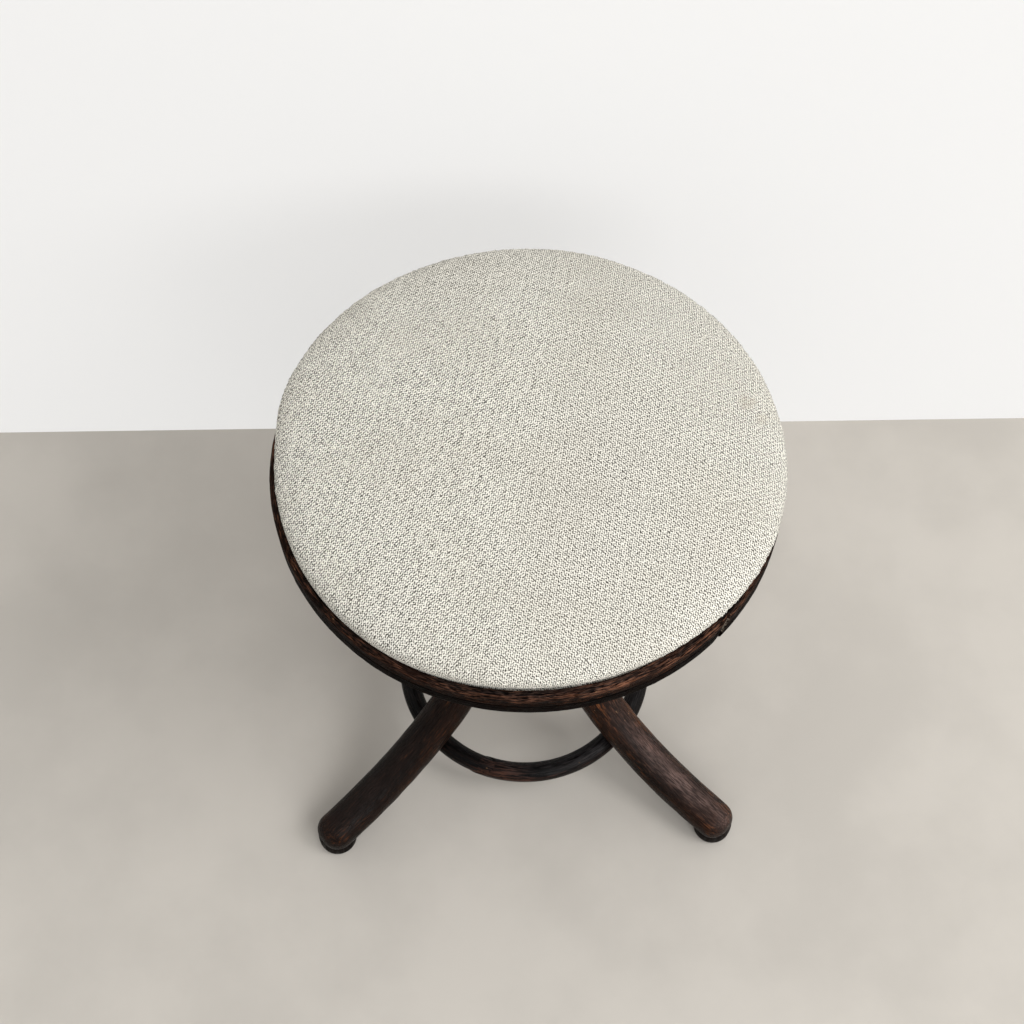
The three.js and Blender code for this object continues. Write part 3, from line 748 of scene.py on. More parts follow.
@dataclass(frozen=True)
class ClothFinish:
    """Greige upholstery cloth: a fine weave with short slanted floats that leave gaps of painted shade."""

    name: str = "cover cloth"
    slot: str = "cover_cloth"
    light: Triple = (0.95, 0.92, 0.825)
    # painted shade: the near-black of the gaps between the yarns
    shade: Triple = (0.035, 0.032, 0.026)
    stain: Triple = (0.42, 0.36, 0.27)
    yarn: float = 1.54  # pitch of the warp yarns
    pick: float = 1.61  # pitch of the weft
    ridge: float = 1.72  # pitch of the slanted ridges
    float_length: float = 3.4  # repeat of the floats along a ridge
    slants: tuple[float, float] = (math.radians(38.7), math.radians(-56))  # at the left and at the right
    turn_width: float = 22.0  # the slant changes over this width each side of the middle
    turn_raggedness: float = 220.0
    marks: tuple[ClothMark, ...] = (ClothMark((150.0, 60.0, 0.0), 9.0, 0.30),
                                    ClothMark((163.0, 48.0, 0.0), 6.0, 0.26))

    def build(self) -> bpy.types.Material:
        """Builds the material.

        Returns:
            The material.
        """
        graph = ShaderGraph(self.name)
        flat = graph.attribute("cloth")
        bent = self.swayed(graph, flat, graph.scaled(flat, 0.25, 0.25, 0.25), 1.0)
        across, along = graph.part(bent, "X"), graph.part(bent, "Y")
        ragged = graph.noise(graph.scaled(flat, 0.11, 0.06, 0.0, 6.0), 2)
        turning = graph.maths("ADD", across, graph.centred(ragged, self.turn_raggedness))
        # Painted light: the slant of floats that shows swaps across the middle, as light falls on the relief
        # from one side.
        side = graph.span(turning, -self.turn_width, self.turn_width)
        left, right = (self.slanted(graph, bent, slant) for slant in self.slants)
        height = graph.add("Mix", {0: side, 2: left, 3: right}).outputs[0]
        pairs = self.wave(graph, along, 2 * self.pick)
        for wave, share in ((self.wave(graph, across, self.yarn), 0.55),
                            (self.wave(graph, along, self.pick), 0.40),
                            (graph.times(self.wave(graph, across, 2 * self.yarn), pairs), 0.55),
                            (graph.times(self.wave(graph, across, 4 * self.yarn), pairs), 0.35)):
            height = graph.plus(height, wave, share)
        # Painted shade: low parts of the weave go towards the near-black shade colour.
        colour = graph.mixed(graph.span(height, -1.10, 0.60), self.shade, self.light)
        broad = graph.noise(graph.scaled(flat, 0.018, 0.018, 0.018, 3.0), 4)
        colour = graph.mixed(graph.span(broad, 0.35, 0.7, 0.0, 0.10), colour, self.stain)
        colour = graph.mixed(self.stains(graph, flat), colour, self.stain)
        return graph.finish(Base_Color=colour, Roughness=0.92, Normal=graph.bumped(height, 0.30, 0.6),
                            Specular_IOR_Level=0.2, Sheen_Weight=0.12, Sheen_Roughness=0.5)

    def swayed(self, graph: ShaderGraph, place: Socket, source: Socket, reach: float) -> Socket:
        """Places moved by soft noise.

        Args:
            graph: the material's graph.
            place: the places.
            source: the noise's own places.
            reach: how far they move.

        Returns:
            The moved places.
        """
        sway = graph.add("TexNoise", {"Vector": source, "Scale": 1.0, "Detail": 2.0}).outputs["Color"]
        about_none = graph.vectors("SUBTRACT", sway, (0.5, 0.5, 0.5))
        return graph.vectors("ADD", place, graph.vectors("MULTIPLY", about_none, (reach,) * 3))

    def slanted(self, graph: ShaderGraph, flat: Socket, slant: float) -> Socket:
        """Fine ridges of yarn that lie at a slant and break up into short floats.

        Args:
            graph: the material's graph.
            flat: the cloth's flat coordinates.
            slant: the ridges' angle from the warp, positive to the right.

        Returns:
            Their height, about -1 to 1.
        """
        leaning = graph.add("VectorRotate", {"Vector": flat, "Angle": slant},
                            rotation_type="Z_AXIS").outputs[0]
        wavy = self.swayed(graph, leaning, graph.scaled(leaning, 0.5, 0.3, 0.0, 9.0 + slant), 1.6)
        across, along = graph.part(wavy, "X"), graph.part(wavy, "Y")
        staggered = self.wave(graph, graph.plus(along, across, 0.5), self.float_length)
        uneven = graph.noise(graph.scaled(leaning, 0.85, 0.42, 0.0, 2.0 + slant), 1)
        return graph.maths("MULTIPLY_ADD", self.wave(graph, across, self.ridge),
                           graph.plus(0.45, staggered, 0.45), graph.centred(uneven, 2.2))

    def wave(self, graph: ShaderGraph, value: Socket, length: float) -> Socket:
        """A wave from -1 to 1 that repeats at a length."""
        return graph.maths("COSINE", graph.times(value, TURN / length))

    def stains(self, graph: ShaderGraph, flat: Socket) -> Socket:
        """Faint marks near the right-hand edge.

        Args:
            graph: the material's graph.
            flat: the cloth's flat coordinates.

        Returns:
            How strong the marks are at each place.
        """
        ragged = graph.noise(graph.scaled(flat, 0.12, 0.12, 0.12, 1.0), 4)
        strongest = 0.0
        for spot in self.marks:
            gap = graph.scaled(graph.vectors("SUBTRACT", flat, spot.place), 1.0, 1.0, 0.0)
            far = graph.add("VectorMath", {0: gap}, operation="LENGTH").outputs["Value"]
            edge = graph.maths("ADD", far, graph.centred(ragged, 1.6 * spot.size))
            here = graph.span(edge, spot.size, 0.4 * spot.size, 0.0, spot.strength)
            strongest = graph.maths("MAXIMUM", strongest, here)
        return strongest


class Finish(Enum):
    """Every finish of the stool."""

    # The eleventh value of a wood, where given, is its dust_and_sheen_colour: dust with a painted sheen.
    LEG = WoodFinish("leg stain", "stained_beech", (0.0038, 0.0018, 0.0011), (0.014, 0.0050, 0.0026),
                     (0.32, 0.105, 0.030), 0.95, 0.7, 0.31, 0.09, 0.40, (0.165, 0.105, 0.090), fineness=1.25)
    # The foot's darker stain is partly painted shade: the foot stands in the shade under the leg's tip.
    FOOT = WoodFinish("foot stain and painted shade", "stained_beech", (0.0028, 0.0014, 0.0009), (0.007, 0.0030, 0.0018),
                      (0.10, 0.040, 0.016), 0.5, 0.7, 0.46, 0.03, 0.30)
    RIM = WoodFinish("rim stain", "rim_beech", (0.0010, 0.0006, 0.0005), (0.012, 0.0048, 0.0030),
                     (0.36, 0.140, 0.070), 1.0, 0.75, 0.44, 0.01, 0.60, (0.10, 0.072, 0.062),
                     fineness=2.0, dust_and_sheen_low=0.0)
    RING = WoodFinish("ring stain", "black_beech", (0.0010, 0.0008, 0.0007), (0.006, 0.0030, 0.0022),
                      (0.115, 0.047, 0.029), 0.8, 0.5, 0.28, 0.09, 0.24, (0.028, 0.025, 0.026), dust_and_sheen_low=0.1)
    HUB = WoodFinish("hub stain", "stained_beech", (0.006, 0.0032, 0.0022), (0.026, 0.0115, 0.0070),
                     (0.10, 0.045, 0.022), 0.6, 0.6, 0.40, 0.12)
    RAIL = WoodFinish("bare beech", "rail_beech", (0.24, 0.135, 0.065), (0.40, 0.245, 0.13),
                      (0.30, 0.16, 0.075), 0.6, 0.5, 0.66, 0.25)
    PLY = PlyFinish()
    FOAM = FoamFinish()
    CLOTH = ClothFinish()
    CAST_IRON = MetalFinish("cast iron", "cast_iron", (0.045, 0.044, 0.044), (0.085, 0.045, 0.025),
                            0.35, 0.5, 0.16, metallic=0.85)
    BLACK_IRON = MetalFinish("blackened iron", "black_iron", (0.035, 0.033, 0.031), (0.07, 0.04, 0.025),
                             0.3, 0.42, 0.06, metallic=0.9)
    WORN_STEEL = MetalFinish("worn steel", "worn_steel", (0.33, 0.32, 0.31), (0.13, 0.10, 0.075),
                             0.45, 0.3, 0.03, True)
    SCREW_STEEL = MetalFinish("screw steel", "steel_screws", (0.40, 0.38, 0.35), (0.17, 0.12, 0.08),
                              0.4, 0.34, 0.02, True)
    BRASS = MetalFinish("brass", "brass", (0.50, 0.35, 0.14), (0.22, 0.15, 0.07), 0.5, 0.34, 0.02, True)

    @property
    def material(self) -> bpy.types.Material:
        """The finish's material, made once."""
        return bpy.data.materials.get(self.value.name) or self.value.build()


def keep(piece: bpy.types.Object, finish: Finish, body: Body, *nodes: str, crease: float = 32.0,
         spin: Matrix = Matrix(), **marks: Mapper) -> bpy.types.Object:
    """Dresses a finished piece, lets it ride and hides what it stands for.

    Args:
        piece: the piece.
        finish: its finish.
        body: the body that it rides on.
        *nodes: the nodes that it replaces.
        crease: angle in degrees above which an edge stays sharp.
        spin: its turn into place, once it is marked.
        **marks: the finish's own coordinates, by attribute name.

    Returns:
        The piece.
    """
    for name, mapper in marks.items():
        mark(piece, name, mapper)
    piece.data.transform(spin)
    piece.data.materials.clear()
    piece.data.materials.append(finish.material)
    piece.data.shade_smooth()
    piece.data.set_sharp_from_angle(angle=math.radians(crease))
    if nodes:
        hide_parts(*nodes)
    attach(piece, body.value)
    log.info("%s: %d faces, on %s, for %s",
             piece.name, len(piece.data.polygons), body.value, nodes or "itself")
    return piece


# ---- Screws ----


class Level:
    """Heights that several parts share, with the seat wound down."""

    rim_top = 414.0
    rim_foot = 388.0
    rebate = 406.0
    rail_foot = 390.0
    flange_top = 389.7
    flange_edge = 385.7
    flange_foot = 382.7
    boss_foot = 363.7
    boss_pin = (boss_foot + flange_foot) / 2
    nut_top = 363.4
    hub_top = 358.1
    leg_top = 352.1
    nut_foot = 324.1
    bush_top = 270.1
    hub_foot = 250.1
    bush_foot = 246.8
    washer_top = 150.3
    washer_foot = 147.3
    collar_top = 147.0
    collar_foot = 135.0
    collar_pin = (collar_foot + collar_top) / 2


@dataclass(frozen=True)
class Screw:
    """A slotted wood screw, with a domed head or a countersunk one."""

    shank: float
    head: float
    head_height: float
    length: float
    body: Body
    finish: Finish = Finish.SCREW_STEEL
    domed: bool = False
    groove: float = 1.6  # pitch of its thread

    def profile(self) -> Profile:
        """The screw's outline, from the middle of its head to its point.

        Returns:
            Radius and height of each corner.
        """
        if self.domed:
            outline = [(self.head * math.sin(a), self.head_height * (0.45 + 0.55 * math.cos(a)))
                       for a in quarter(8)]
            outline += [(self.head, 0.25), (self.head - 0.25, 0), (self.shank, -0.6)]
        else:
            outline = [(0, 0), (self.head - 0.25, 0), (self.head, -0.2), (self.shank, -self.head_height)]
        height, end, root = -0.4 * self.length, 3.0 - self.length, 0.72 * self.shank
        outline.append((self.shank, height))
        while height > end + self.groove:
            outline += [(root, height - 0.5), (self.shank, height - 1.1), (root, height - self.groove)]
            height -= self.groove
        return [*outline, (self.shank * 0.7, end), (0, -self.length)]

    def pattern(self, name: str) -> bpy.types.Object:
        """Makes the screw along Z, its driver slot cut.

        Args:
            name: the object's name.

        Returns:
            The screw.
        """
        screw = new_object(name, turned(self.profile(), 32))
        top = self.head_height if self.domed else 0.0
        reach, half, depth = self.head + 1, 0.13 * self.head, 0.42 * self.head_height
        carve(screw, [block((-reach, -half, top - depth), (reach, half, top + 2))])
        return screw

    def hole(self, seat: Matrix, depth: float, sides: int, above: float = 1.0, flare: float = FIT) -> Shape:
        """The countersunk hole for this screw.

        Args:
            seat: where its head sits.
            depth: how deep the hole is.
            sides: places on each circle.
            above: how far the hole reaches above the seat.
            flare: how much wider it is up there.

        Returns:
            The cutter.
        """
        head, shank, cone = self.head + FIT, self.shank + FIT, -self.head_height - FIT
        return turned([(0, above), (head + flare, above), (head, 0), (shank, cone), (shank, -depth),
                       (0, -depth)], sides).moved(seat)


class Screws:
    """The kinds of screw, and where the hidden ones sit."""

    leg = Screw(3.5, 7.0, 4.0, 48.0, Body.BASE, Finish.BLACK_IRON, True)
    ring = Screw(2.5, 5.0, 3.0, 31.0, Body.BASE)
    foot = Screw(2.2, 4.4, 2.6, 24.0, Body.BASE)
    nut = Screw(2.4, 4.8, 2.8, 26.0, Body.BASE)
    flange = Screw(2.4, 4.8, 2.8, 17.0, Body.SEAT)
    rail = Screw(2.2, 4.4, 2.6, 23.0, Body.SEAT)
    rim = Screw(2.2, 4.4, 2.6, 25.0, Body.SEAT)
    seats = {"nut": [aim(polar(25.0, angle, Level.nut_top), UP) for angle in whole(4)],
             "flange": [aim(polar(45.4, angle, Level.flange_edge), -UP) for angle in whole(4)],
             "rail": [aim(Vector((x, y, Level.rail_foot)), -UP)
                      for x in (110.25, -110.25) for y in (30.0, -30.0)],
             "rim": [aim(polar(170.0, TURN * (step + 0.5) / 6, Level.rim_foot), -UP) for step in range(6)]}


@dataclass
class Fasteners:
    """All the wood screws, each in its own place with its slot at its own angle."""

    patterns: dict[str, bpy.types.Object] = field(default_factory=dict)
    placed: int = 0
    slot_turn: float = 2.4  # from one screw's slot to the next one's

    def place(self, kind: str, suffix: str, where: Matrix) -> None:
        """Puts one screw in its place.

        Args:
            kind: its kind, as Screws names it.
            suffix: the rest of its node's name.
            where: its place.
        """
        screw = getattr(Screws, kind)
        if kind not in self.patterns:
            self.patterns[kind] = screw.pattern("pattern_" + kind)
        node = f"{kind}_screw_{suffix}"
        piece = linked("slotted_" + node, self.patterns[kind].data)
        metres = where @ Matrix.Rotation(self.slot_turn * self.placed, 4, "Z")
        metres.translation *= MM
        piece.matrix_world = metres
        self.placed += 1
        keep(piece, screw.finish, screw.body, node)

    def build(self, legs: "Legs", ring: "BraceRing") -> None:
        """Makes every screw.

        Args:
            legs: the legs that take the leg and foot screws.
            ring: the brace ring that takes the ring screws.
        """
        for corner in CORNERS:
            for level, seat in zip(("lower_", "upper_"), legs.screw_seats()):
                self.place("leg", level + corner.label, corner.spin @ seat)
            self.place("ring", corner.label, corner.spin @ ring.screw_seat())
            self.place("foot", corner.label, corner.spin @ legs.foot_seat(corner))
        for number in range(4):
            for kind in ("nut", "flange", "rail"):
                self.place(kind, str(number + 1), Screws.seats[kind][number])
        for number, seat in enumerate(Screws.seats["rim"]):
            self.place("rim", str(number + 1), seat)
        for pattern in self.patterns.values():
            bpy.data.objects.remove(pattern)


# ---- The stool's parts ----


@dataclass
class Legs:
    """Four bent legs: a straight grip beside the hub, one bend, and a round foot under the end."""

    radius: float = 17.25
    circle: float = 54.0
    top_round: float = 6.0
    bend_height: float = 166.3
    bend_pull: float = 68.3
    foot_pull: float = 89.5
    foot_slope: float = math.radians(7)
    axis_height: float = 21.5
    tip_round: float = 15.5
    grip: float = 86.0  # length held by the hub
    screw_sink: float = 2.0
    foot_sink: float = 1.5
    sides: int = 56
    noise_seed: int = 1  # noise_vector() starts from the clock without one
    grip_steps: int = 26
    bend_steps: int = 72
    worn_height: float = 155.0  # where the bend is rubbed most
    dust_and_sheen_height: float = 86.0  # dust and a painted sheen lie on the upper face below this

    def screw_seats(self) -> list[Matrix]:
        """Where the lower and the upper leg screw sit, in a leg's plane."""
        heights = [Level.hub_top - self.grip + share * self.grip for share in (0.2, 0.8)]
        return [aim(Vector((self.circle + self.radius - self.screw_sink, 0, z)), ALONG_X) for z in heights]

    def foot_seat(self, corner: Corner) -> Matrix:
        """Where the foot screw sits, in a leg's plane."""
        return aim(Vector((corner.reach, 0, self.foot_sink)), -UP)

    def bend(self, reach: float, share: float) -> tuple[Vector, Vector]:
        """A place on the bend's centre line, a cubic curve.

        Args:
            reach: how far out the foot stands.
            share: share of the way down the bend.

        Returns:
            The place and the direction there.
        """
        rest = 1 - share
        start, end = Vector((self.circle, 0, self.bend_height)), Vector((reach, 0, self.axis_height))
        first = start - UP * self.bend_pull
        second = end + Vector((-math.cos(self.foot_slope), 0, math.sin(self.foot_slope))) * self.foot_pull
        place = (rest ** 3 * start + 3 * rest * rest * share * first
                 + 3 * rest * share * share * second + share ** 3 * end)
        slope = (rest * rest * (first - start) + 2 * rest * share * (second - first)
                 + share * share * (end - second))
        return place, slope.normalized()

    def stations(self, reach: float, grow: float) -> list[tuple[Vector, Vector, float]]:
        """Centre, direction and radius of each ring of places down the leg.

        Args:
            reach: how far out the foot stands.
            grow: how much thicker than the leg.

        Returns:
            The rings from the top end to the tip.
        """
        radius = self.radius + grow
        top = Vector((self.circle, 0, Level.leg_top - self.top_round))
        stations = [(top + UP * self.top_round * math.sin(a), -UP,
                     radius - self.top_round * (1 - math.cos(a))) for a in reversed(quarter(8))]
        for step in range(1, self.grip_steps):
            height = top.z + (self.bend_height - top.z) * step / self.grip_steps
            stations.append((Vector((self.circle, 0, height)), -UP, radius))
        for step in range(self.bend_steps + 1):
            stations.append((*self.bend(reach, step / self.bend_steps), radius))
        tip, slope, _ = stations[-1]
        return stations + [(tip + slope * self.tip_round * math.sin(a), slope,
                            radius - self.tip_round * (1 - math.cos(a))) for a in quarter(12)[1:]]

    def shape(self, reach: float, grow: float) -> Shape:
        """The whole leg in its own plane, or a thicker one to cut with."""
        return swept([circle(place, ALONG_Y.cross(slope), ALONG_Y, radius, self.sides)
                      for place, slope, radius in self.stations(reach, grow)])

    def along(self, reach: float) -> Mapper:
        """Grain that follows the leg.

        Args:
            reach: how far out the foot stands.

        Returns:
            The mapper.
        """
        line, slopes = (np.array(part) for part in list(zip(*self.stations(reach, 0.0)))[:2])
        lengths = np.concatenate([[0.0], np.cumsum(np.linalg.norm(np.diff(line, axis=0), axis=1))])

        def mapper(places: np.ndarray, middles: np.ndarray) -> np.ndarray:
            """Finds the nearest station and measures from it.

            Args:
                places: the places.
                middles: the middles of their faces.

            Returns:
                Offset outwards, offset across and length from the top.
            """
            nearest = np.argmin(((places[:, None, :] - line[None, :, :]) ** 2).sum(axis=2), axis=1)
            gap, slope = places - line[nearest], slopes[nearest]
            outward = gap[:, 0] * -slope[:, 2] + gap[:, 2] * slope[:, 0]
            return np.stack([outward, places[:, 1], lengths[nearest] + (gap * slope).sum(axis=1)], axis=1)

        return mapper

    def wear(self, corner: Corner) -> Mapper:
        """Wear of one leg: rubbed on the bend, one flank and the tip, the other flank dark as painted shade;
        dust and a painted sheen along its upper face.

        Args:
            corner: which leg.

        Returns:
            The mapper.
        """
        grain = self.along(corner.reach)

        def rule(places: np.ndarray) -> Sequence[np.ndarray]:
            """Measures from the leg's centre line.

            Args:
                places: the places.

            Returns:
                Rubbed, dust with painted sheen, and bare.
            """
            outward, across, _ = grain(places, places).T / self.radius
            side, height = np.abs(across), places[:, 2]
            bend = hump(height, self.worn_height, 55) * held(1.5 - 1.1 * side)
            # Painted shade: the flank on the -y side, which faces away from the light, is rubbed far less and
            # stays dark.
            flank = np.where(across > 0, 0.50, 0.14) * held((side - 0.35) / 0.4)
            tip = 0.26 * hump(places[:, 0], corner.reach + 8, 14)
            rubbed = corner.age * (0.10 + 0.95 * bend + flank) + tip * (0.4 + 0.6 * corner.age)
            # Wear, dust and painted sheen fade out near the floor, so each leg is darker towards its foot.
            fade_near_floor = held((height - 16) / 18)
            # Dust and painted sheen along the upper face, scaled by each leg's age.
            top = held(outward) * held(1.25 - 1.5 * side) * rise(height, self.dust_and_sheen_height, -12)
            return rubbed * fade_near_floor, corner.age ** 2 * top * fade_near_floor, 0.0

        return wear_by(rule)

    def uneven(self, seed: float) -> Move:
        """Small differences of a hand-bent, hand-smoothed leg; the seed tells the legs apart."""
        return lambda place: (place + noise.noise_vector(place * 0.02 + Vector((seed, 0, 0))) * 0.45
                              + noise.noise_vector(place * 0.07 + Vector((0, seed, 0))) * 0.28)

    def build_leg(self, corner: Corner, ring: "BraceRing") -> None:
        """Makes one leg, with seats for the ring and the screws.

        Args:
            corner: which leg.
            ring: the brace ring that is let into it.
        """
        piece = new_object("bent_leg_" + corner.label, self.shape(corner.reach, 0.0))
        shift(piece, self.uneven(corner.reach + math.radians(corner.heading)))
        seats = [rod(Screws.leg.head + 0.8, 0, 12, 40).moved(seat) for seat in self.screw_seats()]
        hole = rod(Screws.foot.shank + FIT, -24, 10, 24).moved(self.foot_seat(corner))
        carve(piece, [ring.tube(whole(220), FIT), *seats, hole])
        keep(piece, Finish.LEG, Body.BASE, "leg_" + corner.label, spin=corner.spin,
             grain=self.along(corner.reach), wear=self.wear(corner))

    def build_foot(self, corner: Corner) -> None:
        """Makes the round foot under one leg, cupped to take it.

        Args:
            corner: which leg.
        """
        outline = [(0, 0), (12.2, 0), (12.8, 0.2), *arc((11.5, 5.0), 5.0, -70, 0, 8), (16.7, 9.0),
                   (16.75, 12.0), (16.65, 15.0), (16.45, 18.0), (16.2, 20.0), (15.9, 22.0), (0, 22.0)]
        place = Matrix.Translation((corner.reach, 0, 0))
        piece = new_object("round_foot_" + corner.label, turned(outline, 64).moved(place))
        hole = rod(Screws.foot.head + FIT, -2, 1.6, 32).moved(place)
        carve(piece, [self.shape(corner.reach, 0.12), hole])
        keep(piece, Finish.FOOT, Body.BASE, "foot_" + corner.label, spin=corner.spin,
             grain=upright_grain, wear=even_wear(0.15 * corner.age))

    def build(self, ring: "BraceRing") -> None:
        """Makes the four legs and feet.

        Args:
            ring: the brace ring that is let into the legs.
        """
        noise.seed_set(self.noise_seed)
        for corner in CORNERS:
            self.build_leg(corner, ring)
            self.build_foot(corner)


@dataclass
class BraceRing:
    """The bent ring that ties the legs, its ends scarfed together at the front left."""

    radius: float = 105.6
    tube_radius: float = 8.7
    height: float = 40.95
    to_leg: Vector = field(default_factory=lambda: Vector((0.58364, 0, 0.81201)))
    screw_sink: float = 1.0
    scarf_angle: float = math.radians(-113)
    scarf_slant: float = 1.6
    scarf_fade: float = 26.0
    sides: int = 40

    def tube(self, angles: Sequence[float], grow: float) -> Shape:
        """The plain ring, or a thicker one to cut with.

        Args:
            angles: where it has a section.
            grow: how much thicker than the ring.

        Returns:
            The shape.
        """
        rings = [circle(out * self.radius + UP * self.height, out, UP, self.tube_radius + grow, self.sides)
                 for out in (polar(1.0, angle, 0.0) for angle in angles)]
        return grid(rings, True, True)

    def screw_seat(self) -> Matrix:
        """Where a ring screw sits, in a leg's plane."""
        centre = Vector((self.radius, 0, self.height))
        return aim(centre + self.to_leg * (self.screw_sink - self.tube_radius), -self.to_leg)

    def shaved(self, place: Vector) -> Vector:
        """Moves one corner: an uneven hand-shaved section, thicker just past the scarf.

        Args:
            place: the corner.

        Returns:
            Its new place.
        """
        centre = outwards(place) * self.radius + UP * self.height
        offset = place - centre
        past = (math.atan2(place.y, place.x) - self.scarf_angle) * self.radius - self.scarf_slant * offset.z
        step = (0.32 if past > 0 else -0.34) * math.exp(-abs(past) / self.scarf_fade)
        groove = -0.4 * math.exp(-((past / 0.9) ** 2))
        wave = 0.14 * noise.noise(place * 0.03)
        return centre + offset * (1 + (step + groove + wave) / self.tube_radius)

    def wear(self, places: np.ndarray) -> Sequence[np.ndarray]:
        """Rubbed at the front and low on its outer face; dust and a painted sheen on top to the right.

        Args:
            places: the places.

        Returns:
            Rubbed, dust with painted sheen, and bare.
        """
        out, angle = round_axis(places)
        angle = np.degrees(angle)
        low = held((out - self.radius - 2) / 5) * hump(angle, -90, 45)
        top = held((places[:, 2] - self.height) / self.tube_radius) ** 2
        # Painted sheen: dust and sheen on top, weak at the front left, strong from the front round to the
        # right.
        return 0.05 + 0.6 * hump(angle, -100, 16) + 0.35 * low, top * (0.12 + 0.8 * rise(angle, -100, 9)), 0.0

    def build(self) -> None:
        """Makes the ring with its scarf and screw holes, its sections closer at the scarf."""
        fine, reach = 0.0066, 0.266
        angles = [self.scarf_angle + step * fine for step in range(-40, 41)]
        angles += [self.scarf_angle + angle for angle in whole(260) if reach < angle < TURN - reach]
        piece = new_object("bent_brace_ring", self.tube(angles, 0.0))
        shift(piece, self.shaved)
        head, shank = rod(Screws.ring.head + FIT, -1.0, 6.0, 32), rod(Screws.ring.shank + FIT, -30.0, 1.0, 24)
        carve(piece, [hole.moved(self.screw_seat()).moved(corner.spin) for corner in CORNERS
                      for hole in (head, shank)])
        keep(piece, Finish.RING, Body.BASE, "brace_ring", grain=bent_grain(self.radius, self.scarf_angle),
             wear=wear_by(self.wear))


@dataclass
class Hub:
    """The turned hub between the legs, with the screw nut let into its top and a bush in its foot."""

    radius: float = 42.0
    bead_radius: float = 30.0
    neck_radius: float = 27.0
    bore: float = 13.0
    nut_barrel: float = 17.0
    nut_flange: float = 33.0
    nut_thread: float = 26.0  # length of the nut's thread
    bush_radius: float = 17.0
    bush_flange: float = 22.0
    groove_clearance: float = 0.35

    def build_hub(self, legs: Legs) -> None:
        """Makes the hub, with a cove for each leg.

        Args:
            legs: the legs that it holds.
        """
        foot, top, bush, nut = Level.hub_foot, Level.hub_top, self.bush_radius + FIT, self.nut_barrel + FIT
        cove = [(self.radius - 15 * math.cos(a), foot + 8 + 14 * math.sin(a)) for a in quarter(14)]
        outline = [(bush, foot), (self.neck_radius, foot),
                   *arc((self.bead_radius - 4, foot + 4), 4.0, -75, 75, 14), *cove,
                   (self.radius, top - 30), (self.radius - 0.9, top - 29.2),
                   (self.radius - 0.9, top - 28.2), (self.radius, top - 27.4),
                   *arc((self.radius - 4, top - 4), 4.0, 0, 90, 10),
                   (nut, top), (nut, Level.nut_foot - FIT), (self.bore, Level.nut_foot - FIT),
                   (self.bore, Level.bush_top + FIT), (bush, Level.bush_top + FIT)]
        piece = new_object("turned_hub", turned(outline, 128, hollow=True))
        groove = rod(legs.radius + FIT + self.groove_clearance, foot - 30, top + 30, 64)
        carve(piece, [groove.moved(corner.spin @ Matrix.Translation((legs.circle, 0, 0)))
                      for corner in CORNERS])
        keep(piece, Finish.HUB, Body.BASE, "hub", grain=upright_grain, wear=even_wear(0.3))

    def build_nut(self) -> None:
        """Makes the flanged nut with its screw holes, its thread's ridges in the spindle's grooves."""
        top, foot, rim = Level.nut_top, Level.nut_foot, Level.hub_top + FIT
        barrel, flange, major = self.nut_barrel, self.nut_flange, Thread.crest_radius + Thread.gap
        thread_foot = top - self.nut_thread
        outline = [(major, thread_foot), (major, foot + 0.8), (major + 0.8, foot), (barrel - 0.8, foot),
                   (barrel, foot + 0.8), (barrel, rim), (flange - 0.5, rim), (flange, rim + 0.5),
                   (flange, top - 1.7), *arc((flange - 1.7, top - 1.7), 1.7, 10, 90, 6),
                   (major + 0.6, top), (major, top - 0.6)]
        crest = Thread.pitch - Thread.crest - 2 * Thread.flank - 2 * Thread.side_gap
        wall = Thread.wall(major, -Thread.depth, crest, thread_foot, top - 0.6, (4.0, 3.0))
        shape = turned(outline, Thread.sides).moved(Thread.start).joined(
            wall.moved(Matrix.Rotation(math.pi, 4, "Z")))
        piece = new_object("flanged_nut", shape)
        carve(piece, [Screws.nut.hole(seat, 8, 32) for seat in Screws.seats["nut"]])
        keep(piece, Finish.CAST_IRON, Body.BASE, "spindle_nut")

    def build_bush(self) -> None:
        """Makes the brass guide bush in the hub's foot."""
        foot, seat, top = Level.bush_foot, Level.hub_foot - FIT, Level.bush_top
        bore, radius, flange = Thread.crest_radius + 0.4, self.bush_radius, self.bush_flange
        outline = [(bore, foot + 0.6), (bore + 0.6, foot), (flange - 1.2, foot),
                   *arc((flange - 1.2, foot + 1.2), 1.2, -80, 0, 6), (flange, seat), (radius, seat),
                   (radius, top - 0.6), (radius - 0.6, top), (bore, top)]
        piece = new_object("turned_bush", turned(outline, 72, hollow=True))
        keep(piece, Finish.BRASS, Body.BASE, "guide_bush")

    def build(self, legs: Legs) -> None:
        """Makes the hub, nut and bush.

        Args:
            legs: the legs that the hub holds.
        """
        self.build_hub(legs)
        self.build_nut()
        self.build_bush()


